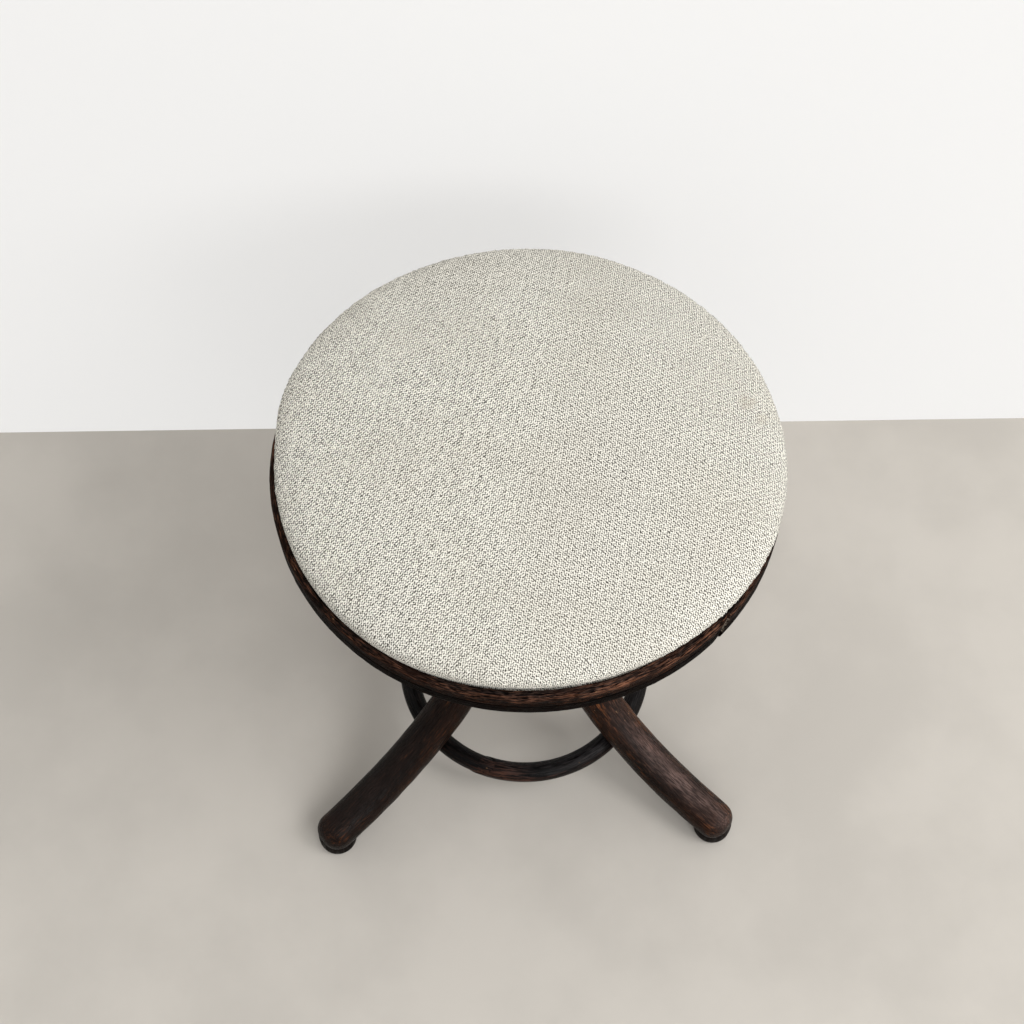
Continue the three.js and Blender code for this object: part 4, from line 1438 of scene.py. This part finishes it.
@dataclass
class Spindle:
    """The screw spindle, the stop at its lower end and their pins."""

    shank: float = 8.5
    guide: float = 10.7
    thread_foot: float = 237.4
    foot: float = 132.5
    top: float = 389.4
    pin_radius: float = 2.5
    boss_pin: float = 34.0  # the pins' lengths
    collar_pin: float = 32.0
    washer_radius: float = 17.0
    collar_radius: float = 16.0
    collar_edge: float = 1.5

    def pin(self, height: float, length: float, grow: float = 0.0) -> Shape:
        """A cross pin with rounded ends, or the thicker and longer rod that cuts its hole.

        Args:
            height: height of the pin's axis.
            length: its length.
            grow: how much thicker than the pin.

        Returns:
            The shape.
        """
        half, radius = length / 2 + (3 if grow else 0), self.pin_radius + grow
        outline = [(0, -half), (radius - 0.6, -half), (radius, 0.6 - half), (radius, half - 0.6),
                   (radius - 0.6, half), (0, half)]
        return turned(outline, 28).moved(aim(Vector((0, 0, height)), ALONG_Y))

    def build_spindle(self) -> None:
        """Makes the spindle, its thread running out at both ends."""
        shank, guide, root, end = self.shank, self.guide, Thread.root_radius, Level.nut_top
        lower = [(0, self.foot), (shank - 1.2, self.foot), (shank, self.foot + 1.2),
                 (shank, Level.washer_foot), (guide - 0.5, Level.washer_foot),
                 (guide, Level.washer_foot + 0.5), (guide, self.thread_foot - 2.5), (root, self.thread_foot)]
        upper = [(root, end), (shank, end + 0.4), (shank, self.top - 0.8), (shank - 0.8, self.top),
                 (0, self.top)]
        shape = Thread.wall(root, Thread.depth, Thread.crest, self.thread_foot, end, (1.5, 3.0))
        for profile in (lower, upper):
            shape = shape.joined(turned(profile, Thread.sides).moved(Thread.start))
        piece = new_object("screw_spindle", shape)
        carve(piece, [self.pin(Level.boss_pin, self.boss_pin, FIT),
                      self.pin(Level.collar_pin, self.collar_pin, FIT)])
        keep(piece, Finish.WORN_STEEL, Body.SEAT, "spindle")

    def build_stop(self) -> None:
        """Makes the loose washer, the collar under it and both cross pins."""
        bore, radius = Thread.crest_radius + 0.4, self.washer_radius
        low, high = Level.washer_foot, Level.washer_top
        outline = [(bore, low + 0.4), (bore + 0.4, low), (radius - 0.6, low), (radius, low + 0.6),
                   (radius, high - 0.6), (radius - 0.6, high), (bore + 0.4, high), (bore, high - 0.4)]
        washer = new_object("loose_washer", turned(outline, 72, hollow=True))
        keep(washer, Finish.WORN_STEEL, Body.STOP, "stop_washer")
        bore, radius, edge = self.shank + FIT, self.collar_radius, self.collar_edge
        low, high = Level.collar_foot, Level.collar_top
        outline = [(bore, low), (radius - edge, low), (radius, low + edge), (radius, high - edge),
                   (radius - edge, high), (bore, high)]
        collar = new_object("pinned_collar", turned(outline, 72, hollow=True))
        carve(collar, [self.pin(Level.collar_pin, self.collar_pin, FIT)])
        keep(collar, Finish.CAST_IRON, Body.SEAT, "stop_collar")
        pin = new_object("collar_cross_pin", self.pin(Level.collar_pin, self.collar_pin))
        keep(pin, Finish.SCREW_STEEL, Body.SEAT, "collar_pin")
        pin = new_object("boss_cross_pin", self.pin(Level.boss_pin, self.boss_pin))
        keep(pin, Finish.SCREW_STEEL, Body.SEAT, "flange_pin")

    def build(self) -> None:
        """Makes the spindle and its stop."""
        self.build_spindle()
        self.build_stop()


class FrontRight:
    """The front right, where the cushion is drawn in and the rim's lip stands higher."""

    middle = -75.0  # in degrees
    width = 33.0

    @classmethod
    def near(cls, place: Vector) -> float:
        """How near a place lies to it, 0 to 1."""
        turn = (math.degrees(math.atan2(place.y, place.x)) - cls.middle + 180) % 360 - 180
        return math.exp(-abs(turn / cls.width) ** 3)


@dataclass
class SeatFrame:
    """What carries the cushion: cast flange, cross rail and the rim bent in two halves."""

    rim_radius: float = 187.5
    rim_inner: float = 157.5
    rebate_radius: float = 182.5
    flange_radius: float = 55.0
    boss_radius: float = 17.0
    rail_width: float = 100.0
    rail_reach: float = 169.7
    rail_ease: float = 1.2
    groove_height: float = 400.5
    lip_foot: float = 407.0
    lap_angle: float = math.radians(-43.8)  # where the rim's outer strip ends, at the front right
    lap_step: float = 1.7
    lap_slant: float = 0.35
    slack_angle: float = 158.0  # where the rim was bent a little flat, in degrees
    slack_depth: float = 1.1
    end_inset: float = 0.012  # share by which the halves' end faces are smaller
    waves: tuple[tuple[float, float], ...] = ((0.15, 0.02), (0.16, 0.13), (0.10, 0.35))  # size, fineness

    def build_flange(self, spindle: Spindle) -> None:
        """Makes the cast flange, its boss joined by a smooth fillet.

        Args:
            spindle: the spindle that it is pinned to.
        """
        foot, top, low, edge = Level.flange_foot, Level.flange_top, Level.boss_foot, Level.flange_edge
        bore, boss, flange, fillet = spindle.shank + FIT, self.boss_radius, self.flange_radius, 7
        outline = [(bore, low), (boss - 1, low), (boss, low + 1),
                   *[(boss + fillet - fillet * math.cos(a), foot - fillet + fillet * math.sin(a))
                     for a in quarter(10)],
                   (flange - 1.5, edge), *arc((flange - 1.3, edge + 1.3), 1.3, -70, 0, 5),
                   (flange, top - 0.8), (flange - 0.8, top), (bore, top)]
        piece = new_object("cast_flange", turned(outline, 96, hollow=True))
        holes = [Screws.flange.hole(seat, 8, 32, above=3, flare=0) for seat in Screws.seats["flange"]]
        carve(piece, [spindle.pin(Level.boss_pin, spindle.boss_pin, FIT), *holes])
        keep(piece, Finish.CAST_IRON, Body.SEAT, "seat_flange")

    def build_rail(self) -> None:
        """Makes the cross rail: a plank with round ends and eased edges."""
        half, reach, ease = self.rail_width / 2, self.rail_reach, self.rail_ease
        spread = math.asin(half / reach)
        outline = [polar(reach, side - spread + 2 * spread * step / 16, 0.0)
                   for side in (0.0, math.pi) for step in range(17)]
        rings = []
        for height, inset in ((Level.rail_foot, ease), (Level.rail_foot + ease, 0.0),
                              (Level.rebate - 0.5, 0.0), (Level.rebate, 0.5)):
            rings.append([Vector((place.x * (reach - inset) / reach, place.y * (half - inset) / half, height))
                          for place in outline])
        piece = new_object("cross_rail", swept(rings))
        carve(piece, [Screws.rail.hole(seat, 20, 28) for seat in reversed(Screws.seats["rail"])])
        keep(piece, Finish.RAIL, Body.SEAT, "seat_rail", grain=crosswise_grain, wear=even_wear(0.35))

    def rim_profile(self) -> Profile:
        """The rim's section: rounded top edge, fine bead groove, eased foot and the rebate for the board.

        Returns:
            Radius and height of each corner, a closed loop.
        """
        outer, top, foot, groove = self.rim_radius, Level.rim_top, Level.rim_foot, self.groove_height
        return [(self.rim_inner + 0.6, foot), *arc((outer - 3, foot + 3), 3.0, -90, 0, 8),
                (outer, foot + 5.5), (outer, foot + 8), (outer, groove - 2.2), (outer, groove - 0.75),
                *arc((outer + 0.2, groove), 0.6, -115, -245, 4), (outer, groove + 0.75),
                (outer + 0.05, groove + 2), (outer + 0.1, groove + 4), (outer + 0.05, groove + 6),
                *arc((outer - 4.6, top - 5.6), 4.7, 0, 75, 12), (self.rebate_radius + 0.5, top - 0.4),
                (self.rebate_radius, top - 0.5), (self.rebate_radius, Level.rebate),
                (self.rim_inner + 0.5, Level.rebate), (self.rim_inner, Level.rebate - 0.5),
                (self.rim_inner, foot + 0.6)]

    def past_lap(self, angle: float, height: float) -> float:
        """Distance past the slanted end of the rim's outer strip, for numbers or arrays."""
        return (self.lap_angle - angle) * self.rim_radius + self.lap_slant * (height - self.groove_height)

    def worn_surface(self, place: Vector) -> Vector:
        """Moves one corner of the rim: a hand-bent, hand-shaved band with a lapped end.

        Args:
            place: the corner.

        Returns:
            Its new place.
        """
        out, angle, radius = outwards(place), math.atan2(place.y, place.x), math.hypot(place.x, place.y)
        crest = FrontRight.near(place) * clamp((place.z - self.lip_foot) / 6)
        inner = clamp((self.rebate_radius + 3 - radius) / 3)
        place = place + crest * (UP * 0.9 + inner * (UP * 0.6 - out * 1.4))
        if radius < self.rebate_radius + 1:
            return place
        wave = sum(size * noise.noise(place * scale) for size, scale in self.waves)
        past = self.past_lap(angle, place.z)
        lap = -self.lap_step * math.exp(-past / 4.5) if past > 0 else 0.25 * math.exp(past / 12)
        slack = self.slack_depth * math.exp(-((math.degrees(angle) - self.slack_angle) / 13) ** 2)
        return place + out * (wave + lap - slack)

    def wear(self, places: np.ndarray) -> Sequence[np.ndarray]:
        """Brown above the groove, strongest along the top edge, black below; painted light makes it strongest
        at the front.

        Args:
            places: the places.

        Returns:
            Rubbed, dust with painted sheen, and bare.
        """
        height, (out, angle) = places[:, 2], round_axis(places)
        shown, turn, past = out > self.rebate_radius, np.degrees(angle), self.past_lap(angle, height)
        # Painted light: how strongly light falls round the rim, most at the front, least from the left to the
        # front left.
        painted_light = 0.45 + 0.55 * rise(turn, -105, 8) - 0.3 * rise(turn, -62, 5)
        brown = 0.33 * rise(height, self.groove_height + 1, 1 / 1.5) + 0.46 * hump(height, 411, 3.2)
        foot = 0.10 * hump(height, Level.rim_foot + 1, 1.6)
        rubbed = np.where(out > self.rim_inner + 4, 0.02 + painted_light * brown + foot, 0.1)
        torn = 0.6 * hump(past, 0.3, 0.4) * (height > 394) * (height < 409) * shown
        return rubbed, 0.45 * painted_light * held((height - 406) / 4) * (out > self.rebate_radius - 2), torn

    def rim_rings(self, start: float) -> list[list[Vector]]:
        """The sections of one half of the rim, closer at the lapped end and smaller at its end faces.

        Args:
            start: the angle where the half begins.

        Returns:
            The sections, half a turn long.
        """
        joint, fine, reach, edge = 0.15 / self.rim_radius, 0.0022, 0.046, 0.0015
        end, lap = start + math.pi - joint, self.lap_angle + TURN
        angles = [start + joint + (math.pi - 2 * joint) * step / 300 for step in range(301)]
        angles = [angle for angle in angles if abs(angle - lap) > reach]
        near = [lap + fine * step for step in range(-20, 21)]
        angles = sorted(angles + [angle for angle in near if start + joint < angle < end])
        profile = self.rim_profile()
        inset = [tuple(corner + self.end_inset * (np.mean(profile, axis=0) - corner)) for corner in profile]
        sections = [(inset, angles[0]), (profile, angles[0] + edge),
                    *[(profile, angle) for angle in angles[1:-1]],
                    (profile, angles[-1] - edge), (inset, angles[-1])]
        return [[polar(radius, angle, height) for radius, height in section] for section, angle in sections]

    def housings(self) -> list[Shape]:
        """Cutters for the rail's ends: blocks held inside the rail's round reach.

        Returns:
            The cutters.
        """
        half, low, high = self.rail_width / 2 + FIT, Level.rim_foot - 4, Level.rebate + 2
        cutters = []
        for side in (-1, 1):
            piece = new_object("housing", block((side * 150 - 20.0, -half, low),
                                                (side * 150 + 20.0, half, high)))
            carve(piece, [rod(self.rail_reach + FIT, low, high, 160)], "INTERSECT")
            cutters.append(Shape([corner.co / MM for corner in piece.data.vertices],
                                 [tuple(face.vertices) for face in piece.data.polygons]))
            bpy.data.objects.remove(piece)
        return cutters

    def build_rim(self) -> None:
        """Makes both halves of the rim, housed over the rail's ends."""
        holes = [Screws.rim.hole(seat, 22, 28) for seat in Screws.seats["rim"]]
        for name, start in (("front", math.pi), ("rear", 0.0)):
            piece = new_object("bent_rim_" + name, swept(self.rim_rings(start)))
            shift(piece, self.worn_surface)
            carve(piece, [*self.housings(), *holes])
            keep(piece, Finish.RIM, Body.SEAT, "seat_rim_" + name,
                 grain=bent_grain(self.rim_radius, start - 0.3), wear=wear_by(self.wear))

    def build(self, spindle: Spindle) -> None:
        """Makes the flange, rail and rim.

        Args:
            spindle: the spindle that the flange is pinned to.
        """
        self.build_flange(spindle)
        self.build_rail()
        self.build_rim()


@dataclass
class Cushion:
    """Board, foam and the tight woven cover, turned in and tacked under the board."""

    seam_radius: float = 182.2
    swell_foot: float = 413.5
    widest_radius: float = 184.9
    widest_height: float = 424.0
    crown_height: float = 445.0
    crown_power: float = 2.5
    cloth: float = 1.2
    tail_inner: float = 147.2
    tail_foot: float = 406.3
    board_foot: float = 407.8
    board_top: float = 415.8
    board_radius: float = 180.7
    lean: float = 2.6  # how far the stuffing above the rim lies to the right
    slack_angle: float = math.radians(68)  # where the stuffing has settled most, at the rear
    slack_drop: float = 4.4
    slack_inset: float = 2.2
    bulge: float = 3.2  # how far it swells over the rim at the rear left
    bulge_from: float = 177.0
    bulge_to: float = 105.0
    tuck: float = 3.3  # how far it is drawn in at the front right
    tuck_foot: float = 409.0
    warp_turn: float = math.radians(9.65)
    tack_radius: float = 152.0
    tack_count: int = 36
    rail_clearance: float = 54.0  # no tacks nearer than this to the middle of the rail

    def crown(self, inset: float, steps: int) -> Profile:
        """The dome from its widest line to the crown.

        Args:
            inset: how far inside the outer face.
            steps: how many steps it has.

        Returns:
            Radius and height of each corner.
        """
        height, power = self.crown_height - self.widest_height - inset, 2 / self.crown_power
        return [*[((self.widest_radius - inset) * math.cos(a) ** power,
                   self.widest_height + height * math.sin(a) ** power) for a in quarter(steps)[:-1]],
                (0.0, self.widest_height + height)]

    def outer_profile(self) -> Profile:
        """The cover's outer face, from the turned-in edge to the crown.

        Returns:
            Radius and height of each corner.
        """
        seam, tail, swell = self.seam_radius, self.tail_foot, self.widest_height - self.swell_foot
        side = [(seam, tail + 1.5 + step) for step in range(6)]
        side += [(seam + (self.widest_radius - seam) * math.sin(a) ** 1.15,
                  self.swell_foot + swell * step / 8) for step, a in enumerate(quarter(8)[:-1])]
        return [(self.tail_inner, tail), (160.0, tail), (172.0, tail),
                *arc((seam - 1.2, tail + 1.2), 1.2, -90, 0, 4), *side, *self.crown(0.0, 44)]

    def inner_profile(self) -> Profile:
        """The cover's inner face, from the crown back to the turned-in edge.

        Returns:
            Radius and height of each corner.
        """
        seam, tail = self.seam_radius - self.cloth, self.tail_foot + self.cloth
        return [*reversed(self.crown(self.cloth, 30)), (seam, Level.rim_top), (seam, tail),
                (160.0, tail), (self.tail_inner, tail)]

    def settled(self, place: Vector) -> Vector:
        """Moves one corner of the cushion: it leans a little to the right and is softly uneven.

        Args:
            place: the corner.

        Returns:
            Its new place.
        """
        out, angle = outwards(place), math.degrees(math.atan2(place.y, place.x)) % 360
        edge = clamp(math.hypot(place.x, place.y) / self.widest_radius)
        slack = max(0.0, out.dot(polar(1, self.slack_angle, 0))) ** 0.8 * edge ** 3
        dent = 0.8 * noise.noise(place * 0.014 + Vector((3.1, 0.4, 0))) + 0.3 * noise.noise(place * 0.04)
        bulge = clamp((self.bulge_from - angle) / 10) * clamp((angle - self.bulge_to) / 40)
        swell = self.bulge * edge ** 3 * bulge + edge ** 8 * noise.noise(place * 0.42)
        lowered = UP * (dent - 0.4 - self.slack_drop * slack)
        move = ALONG_X * self.lean + lowered + out * (swell - self.slack_inset * slack)
        return place + eased((place.z - Level.rim_top) / 8) * move + self.tucked(place)

    def tucked(self, place: Vector) -> Vector:
        """How one corner moves in towards the axis, at the front right.

        Args:
            place: the corner.

        Returns:
            Its move.
        """
        edge = clamp(math.hypot(place.x, place.y) / self.widest_radius)
        share = edge ** 3 * eased((place.z - self.tuck_foot) / 5) * FrontRight.near(place)
        return outwards(place) * (-self.tuck * share)

    def flatten(self, profile: Profile) -> Mapper:
        """The cloth's own flat coordinates, measured over the dome.

        Args:
            profile: the outer face, from the edge to the crown.

        Returns:
            The mapper.
        """
        radii, heights = np.array(profile[::-1]).T
        lengths = np.concatenate([[0.0], np.cumsum(np.hypot(np.diff(radii), np.diff(heights)))])
        upper = heights > self.widest_height - 0.01

        def mapper(places: np.ndarray, middles: np.ndarray) -> np.ndarray:
            """Measures each place from the crown over the dome, then turns it to the warp.

            Args:
                places: the places.
                middles: the middles of their faces.

            Returns:
                The places across and along the warp.
            """
            out, angle = round_axis(places)
            below = self.widest_height - places[:, 2]
            length = np.where((below > 0.01) & (out > 175), lengths[upper][-1] + below,
                              np.interp(out, radii[upper], lengths[upper]))
            angle = angle + self.warp_turn
            return np.stack([length * np.cos(angle), length * np.sin(angle), np.zeros(len(out))], axis=1)

        return mapper

    def build_board(self) -> None:
        """Makes the plywood board."""
        radius, foot, top = self.board_radius, self.board_foot, self.board_top
        outline = [(0, foot), (60, foot), (120, foot), (radius - 0.6, foot), (radius, foot + 0.6),
                   (radius, top - 0.6), (radius - 0.6, top), (120, top), (60, top), (0, top)]
        piece = new_object("ply_board", turned(outline, 160))
        shift(piece, lambda place: place + self.tucked(place))
        keep(piece, Finish.PLY, Body.SEAT, "seat_board", grain=crosswise_grain, wear=even_wear(0.2))

    def build_pad(self) -> None:
        """Makes the foam pad under the cover."""
        inset, foot = self.cloth + 0.6, self.board_top + FIT
        outline = [(0, foot), (90, foot), (self.board_radius - 2, foot), (self.board_radius, foot + 2),
                   *self.crown(inset, 28)]
        piece = new_object("foam_pad", turned(outline, 128))
        shift(piece, self.settled)
        keep(piece, Finish.FOAM, Body.SEAT, "seat_pad")

    def build_cover(self) -> None:
        """Makes the cover, one closed skin of cloth, marked before it settles."""
        outer = self.outer_profile()
        piece = new_object("woven_cover", turned([*reversed(outer), *reversed(self.inner_profile())], 576))
        mark(piece, "cloth", self.flatten(outer))
        shift(piece, self.settled)
        keep(piece, Finish.CLOTH, Body.SEAT, "seat_cover", crease=60)

    def build_tacks(self) -> None:
        """Makes the tacks that hold the cover's edge under the board."""
        head = [(2.9 * math.sin(a), -1.6 * math.cos(a) ** 0.8) for a in quarter(6)[:-1]]
        tack, tacks = turned([*head, (2.9, -0.15), (0.7, -0.15), (0.5, 4.0), (0, 5.5)], 16), Shape()
        for number in range(self.tack_count):
            spot = polar(self.tack_radius, TURN * (number + 0.5) / self.tack_count, self.tail_foot - 0.02)
            if abs(spot.y) >= self.rail_clearance:
                tacks = tacks.joined(tack.moved(Matrix.Translation(spot)))
        keep(new_object("cover_tacks", tacks), Finish.BLACK_IRON, Body.SEAT)

    def build(self) -> None:
        """Makes the board, pad, cover and tacks."""
        self.build_board()
        self.build_pad()
        self.build_cover()
        self.build_tacks()


# ---- The studio ----


@dataclass
class Studio:
    """Plain floor and backdrop, soft light and the camera; its places are in metres."""

    floor_colour: Triple = (0.585, 0.55, 0.50)
    wall_colour: Triple = (0.86, 0.86, 0.855)
    wall_shade: Triple = (0.38, 0.375, 0.37)
    wall_glow: float = 0.56
    wall_distance: float = 0.28
    camera_place: Triple = (-0.0216, -0.6197, 1.4817)
    camera_down: float = 61.65
    camera_turn: float = math.atan2(0.0166, 0.99986)
    sensor: float = 36.0
    focal_length: float = 1700.0 / 1024  # in picture widths
    bright_side: Triple = (0.62, -0.25, 0.74)
    sky_range: tuple[float, float] = (0.30, 0.92)
    stage_reach: float = 6.0

    def build_camera(self) -> None:
        """Puts the camera where it saw the stool from."""
        camera = bpy.data.cameras.new("camera")
        camera.sensor_width = self.sensor
        camera.lens = self.focal_length * self.sensor
        holder = linked("camera", camera)
        holder.location = self.camera_place
        holder.rotation_euler = (math.radians(90 - self.camera_down), 0, -self.camera_turn)
        bpy.context.scene.camera = holder

    def plane(self, name: str, corners: Sequence[Triple], material: bpy.types.Material) -> None:
        """Makes one flat stage piece.

        Args:
            name: its name.
            corners: its corners.
            material: its material.
        """
        mesh = bpy.data.meshes.new(name)
        mesh.from_pydata(corners, [], [tuple(range(len(corners)))])
        mesh.materials.append(material)
        linked(name, mesh)

    def build_floor(self) -> None:
        """Makes the pale floor, with the faintest mottling."""
        graph, far = ShaderGraph("pale floor"), self.stage_reach
        cloud = graph.noise(graph.scaled(graph.own_space(), 5, 5, 5), 5)
        darker = tuple(part * 0.90 for part in self.floor_colour)
        graph.finish(Base_Color=graph.mixed(graph.span(cloud, 0.35, 0.65), self.floor_colour, darker),
                     Roughness=0.85, Specular_IOR_Level=0.2)
        self.plane("floor", [(-far, -far, 0), (far, -far, 0), (far, far, 0), (-far, far, 0)], graph.material)

    def build_wall(self) -> None:
        """Makes the white backdrop, which shows only from its front."""
        graph, far, wide, top = ShaderGraph("white backdrop"), self.wall_distance, self.stage_reach, 5
        ray = graph.add("LightPath", {}).outputs
        seen = graph.maths("MAXIMUM", ray["Is Camera Ray"], ray["Is Glossy Ray"])
        seen = graph.maths("MAXIMUM", seen, ray["Is Transmission Ray"])
        graph.finish(Base_Color=graph.mixed(seen, self.wall_colour, self.wall_shade), Roughness=0.9,
                     Specular_IOR_Level=0.0, Emission_Color=(1.0, 1.0, 0.99),
                     Emission_Strength=graph.times(seen, self.wall_glow))
        clear = graph.add("BsdfTransparent", {}).outputs[0]
        behind = graph.add("NewGeometry", {}).outputs["Backfacing"]
        mix = graph.add("MixShader", {0: behind, 1: graph.shader.outputs[0], 2: clear})
        graph.tree.links.new(mix.outputs[0], graph.output.inputs["Surface"])
        self.plane("backdrop", [(-wide, far, 0), (wide, far, 0), (wide, far, top), (-wide, far, top)],
                   graph.material)

    def lamp(self, name: str, place: Triple, size: float, power: float) -> None:
        """Makes one soft square lamp that points at the stool's foot.

        Args:
            name: its name.
            place: where it hangs.
            size: its side.
            power: its power in watts.
        """
        light = bpy.data.lights.new(name, "AREA")
        light.shape, light.size, light.energy = "SQUARE", size, power
        holder = linked(name, light)
        holder.location = place
        holder.rotation_euler = (Vector((0.0, 0.0, 0.2)) - Vector(place)).to_track_quat("-Z", "Y").to_euler()

    def build_light(self) -> None:
        """Lights the stool from all round, and softly from above on the right."""
        world = bpy.data.worlds.new("studio")
        bpy.context.scene.world = world
        world.use_nodes = True
        tree = world.node_tree
        sky, place = tree.nodes["Background"], tree.nodes.new("ShaderNodeTexCoord")
        facing, spread = tree.nodes.new("ShaderNodeVectorMath"), tree.nodes.new("ShaderNodeMapRange")
        sky.inputs["Color"].default_value = (1.0, 1.0, 1.0, 1)
        facing.operation = "DOT_PRODUCT"
        facing.inputs[1].default_value = self.bright_side
        for socket, value in zip(list(spread.inputs)[1:5], (-0.5, 1.0, *self.sky_range)):
            socket.default_value = value
        tree.links.new(place.outputs["Generated"], facing.inputs[0])
        tree.links.new(facing.outputs["Value"], spread.inputs[0])
        tree.links.new(spread.outputs[0], sky.inputs["Strength"])
        self.lamp("window", (2.4, -0.9, 3.3), 1.5, 50.0)
        self.lamp("room", (1.3, -2.4, 1.7), 1.4, 26.0)

    def build(self) -> None:
        """Makes the camera, stage and light."""
        self.build_camera()
        self.build_floor()
        self.build_wall()
        self.build_light()
        bpy.context.scene.view_settings.view_transform = "Standard"


def main() -> None:
    """Builds the studio and the stool."""
    logging.basicConfig(level=logging.INFO, format="%(message)s")
    Studio().build()
    legs, ring, spindle = Legs(), BraceRing(), Spindle()
    legs.build(ring)
    ring.build()
    Hub().build(legs)
    spindle.build()
    SeatFrame().build(spindle)
    Cushion().build()
    Fasteners().build(legs, ring)


if __name__ == "__main__":
    main()
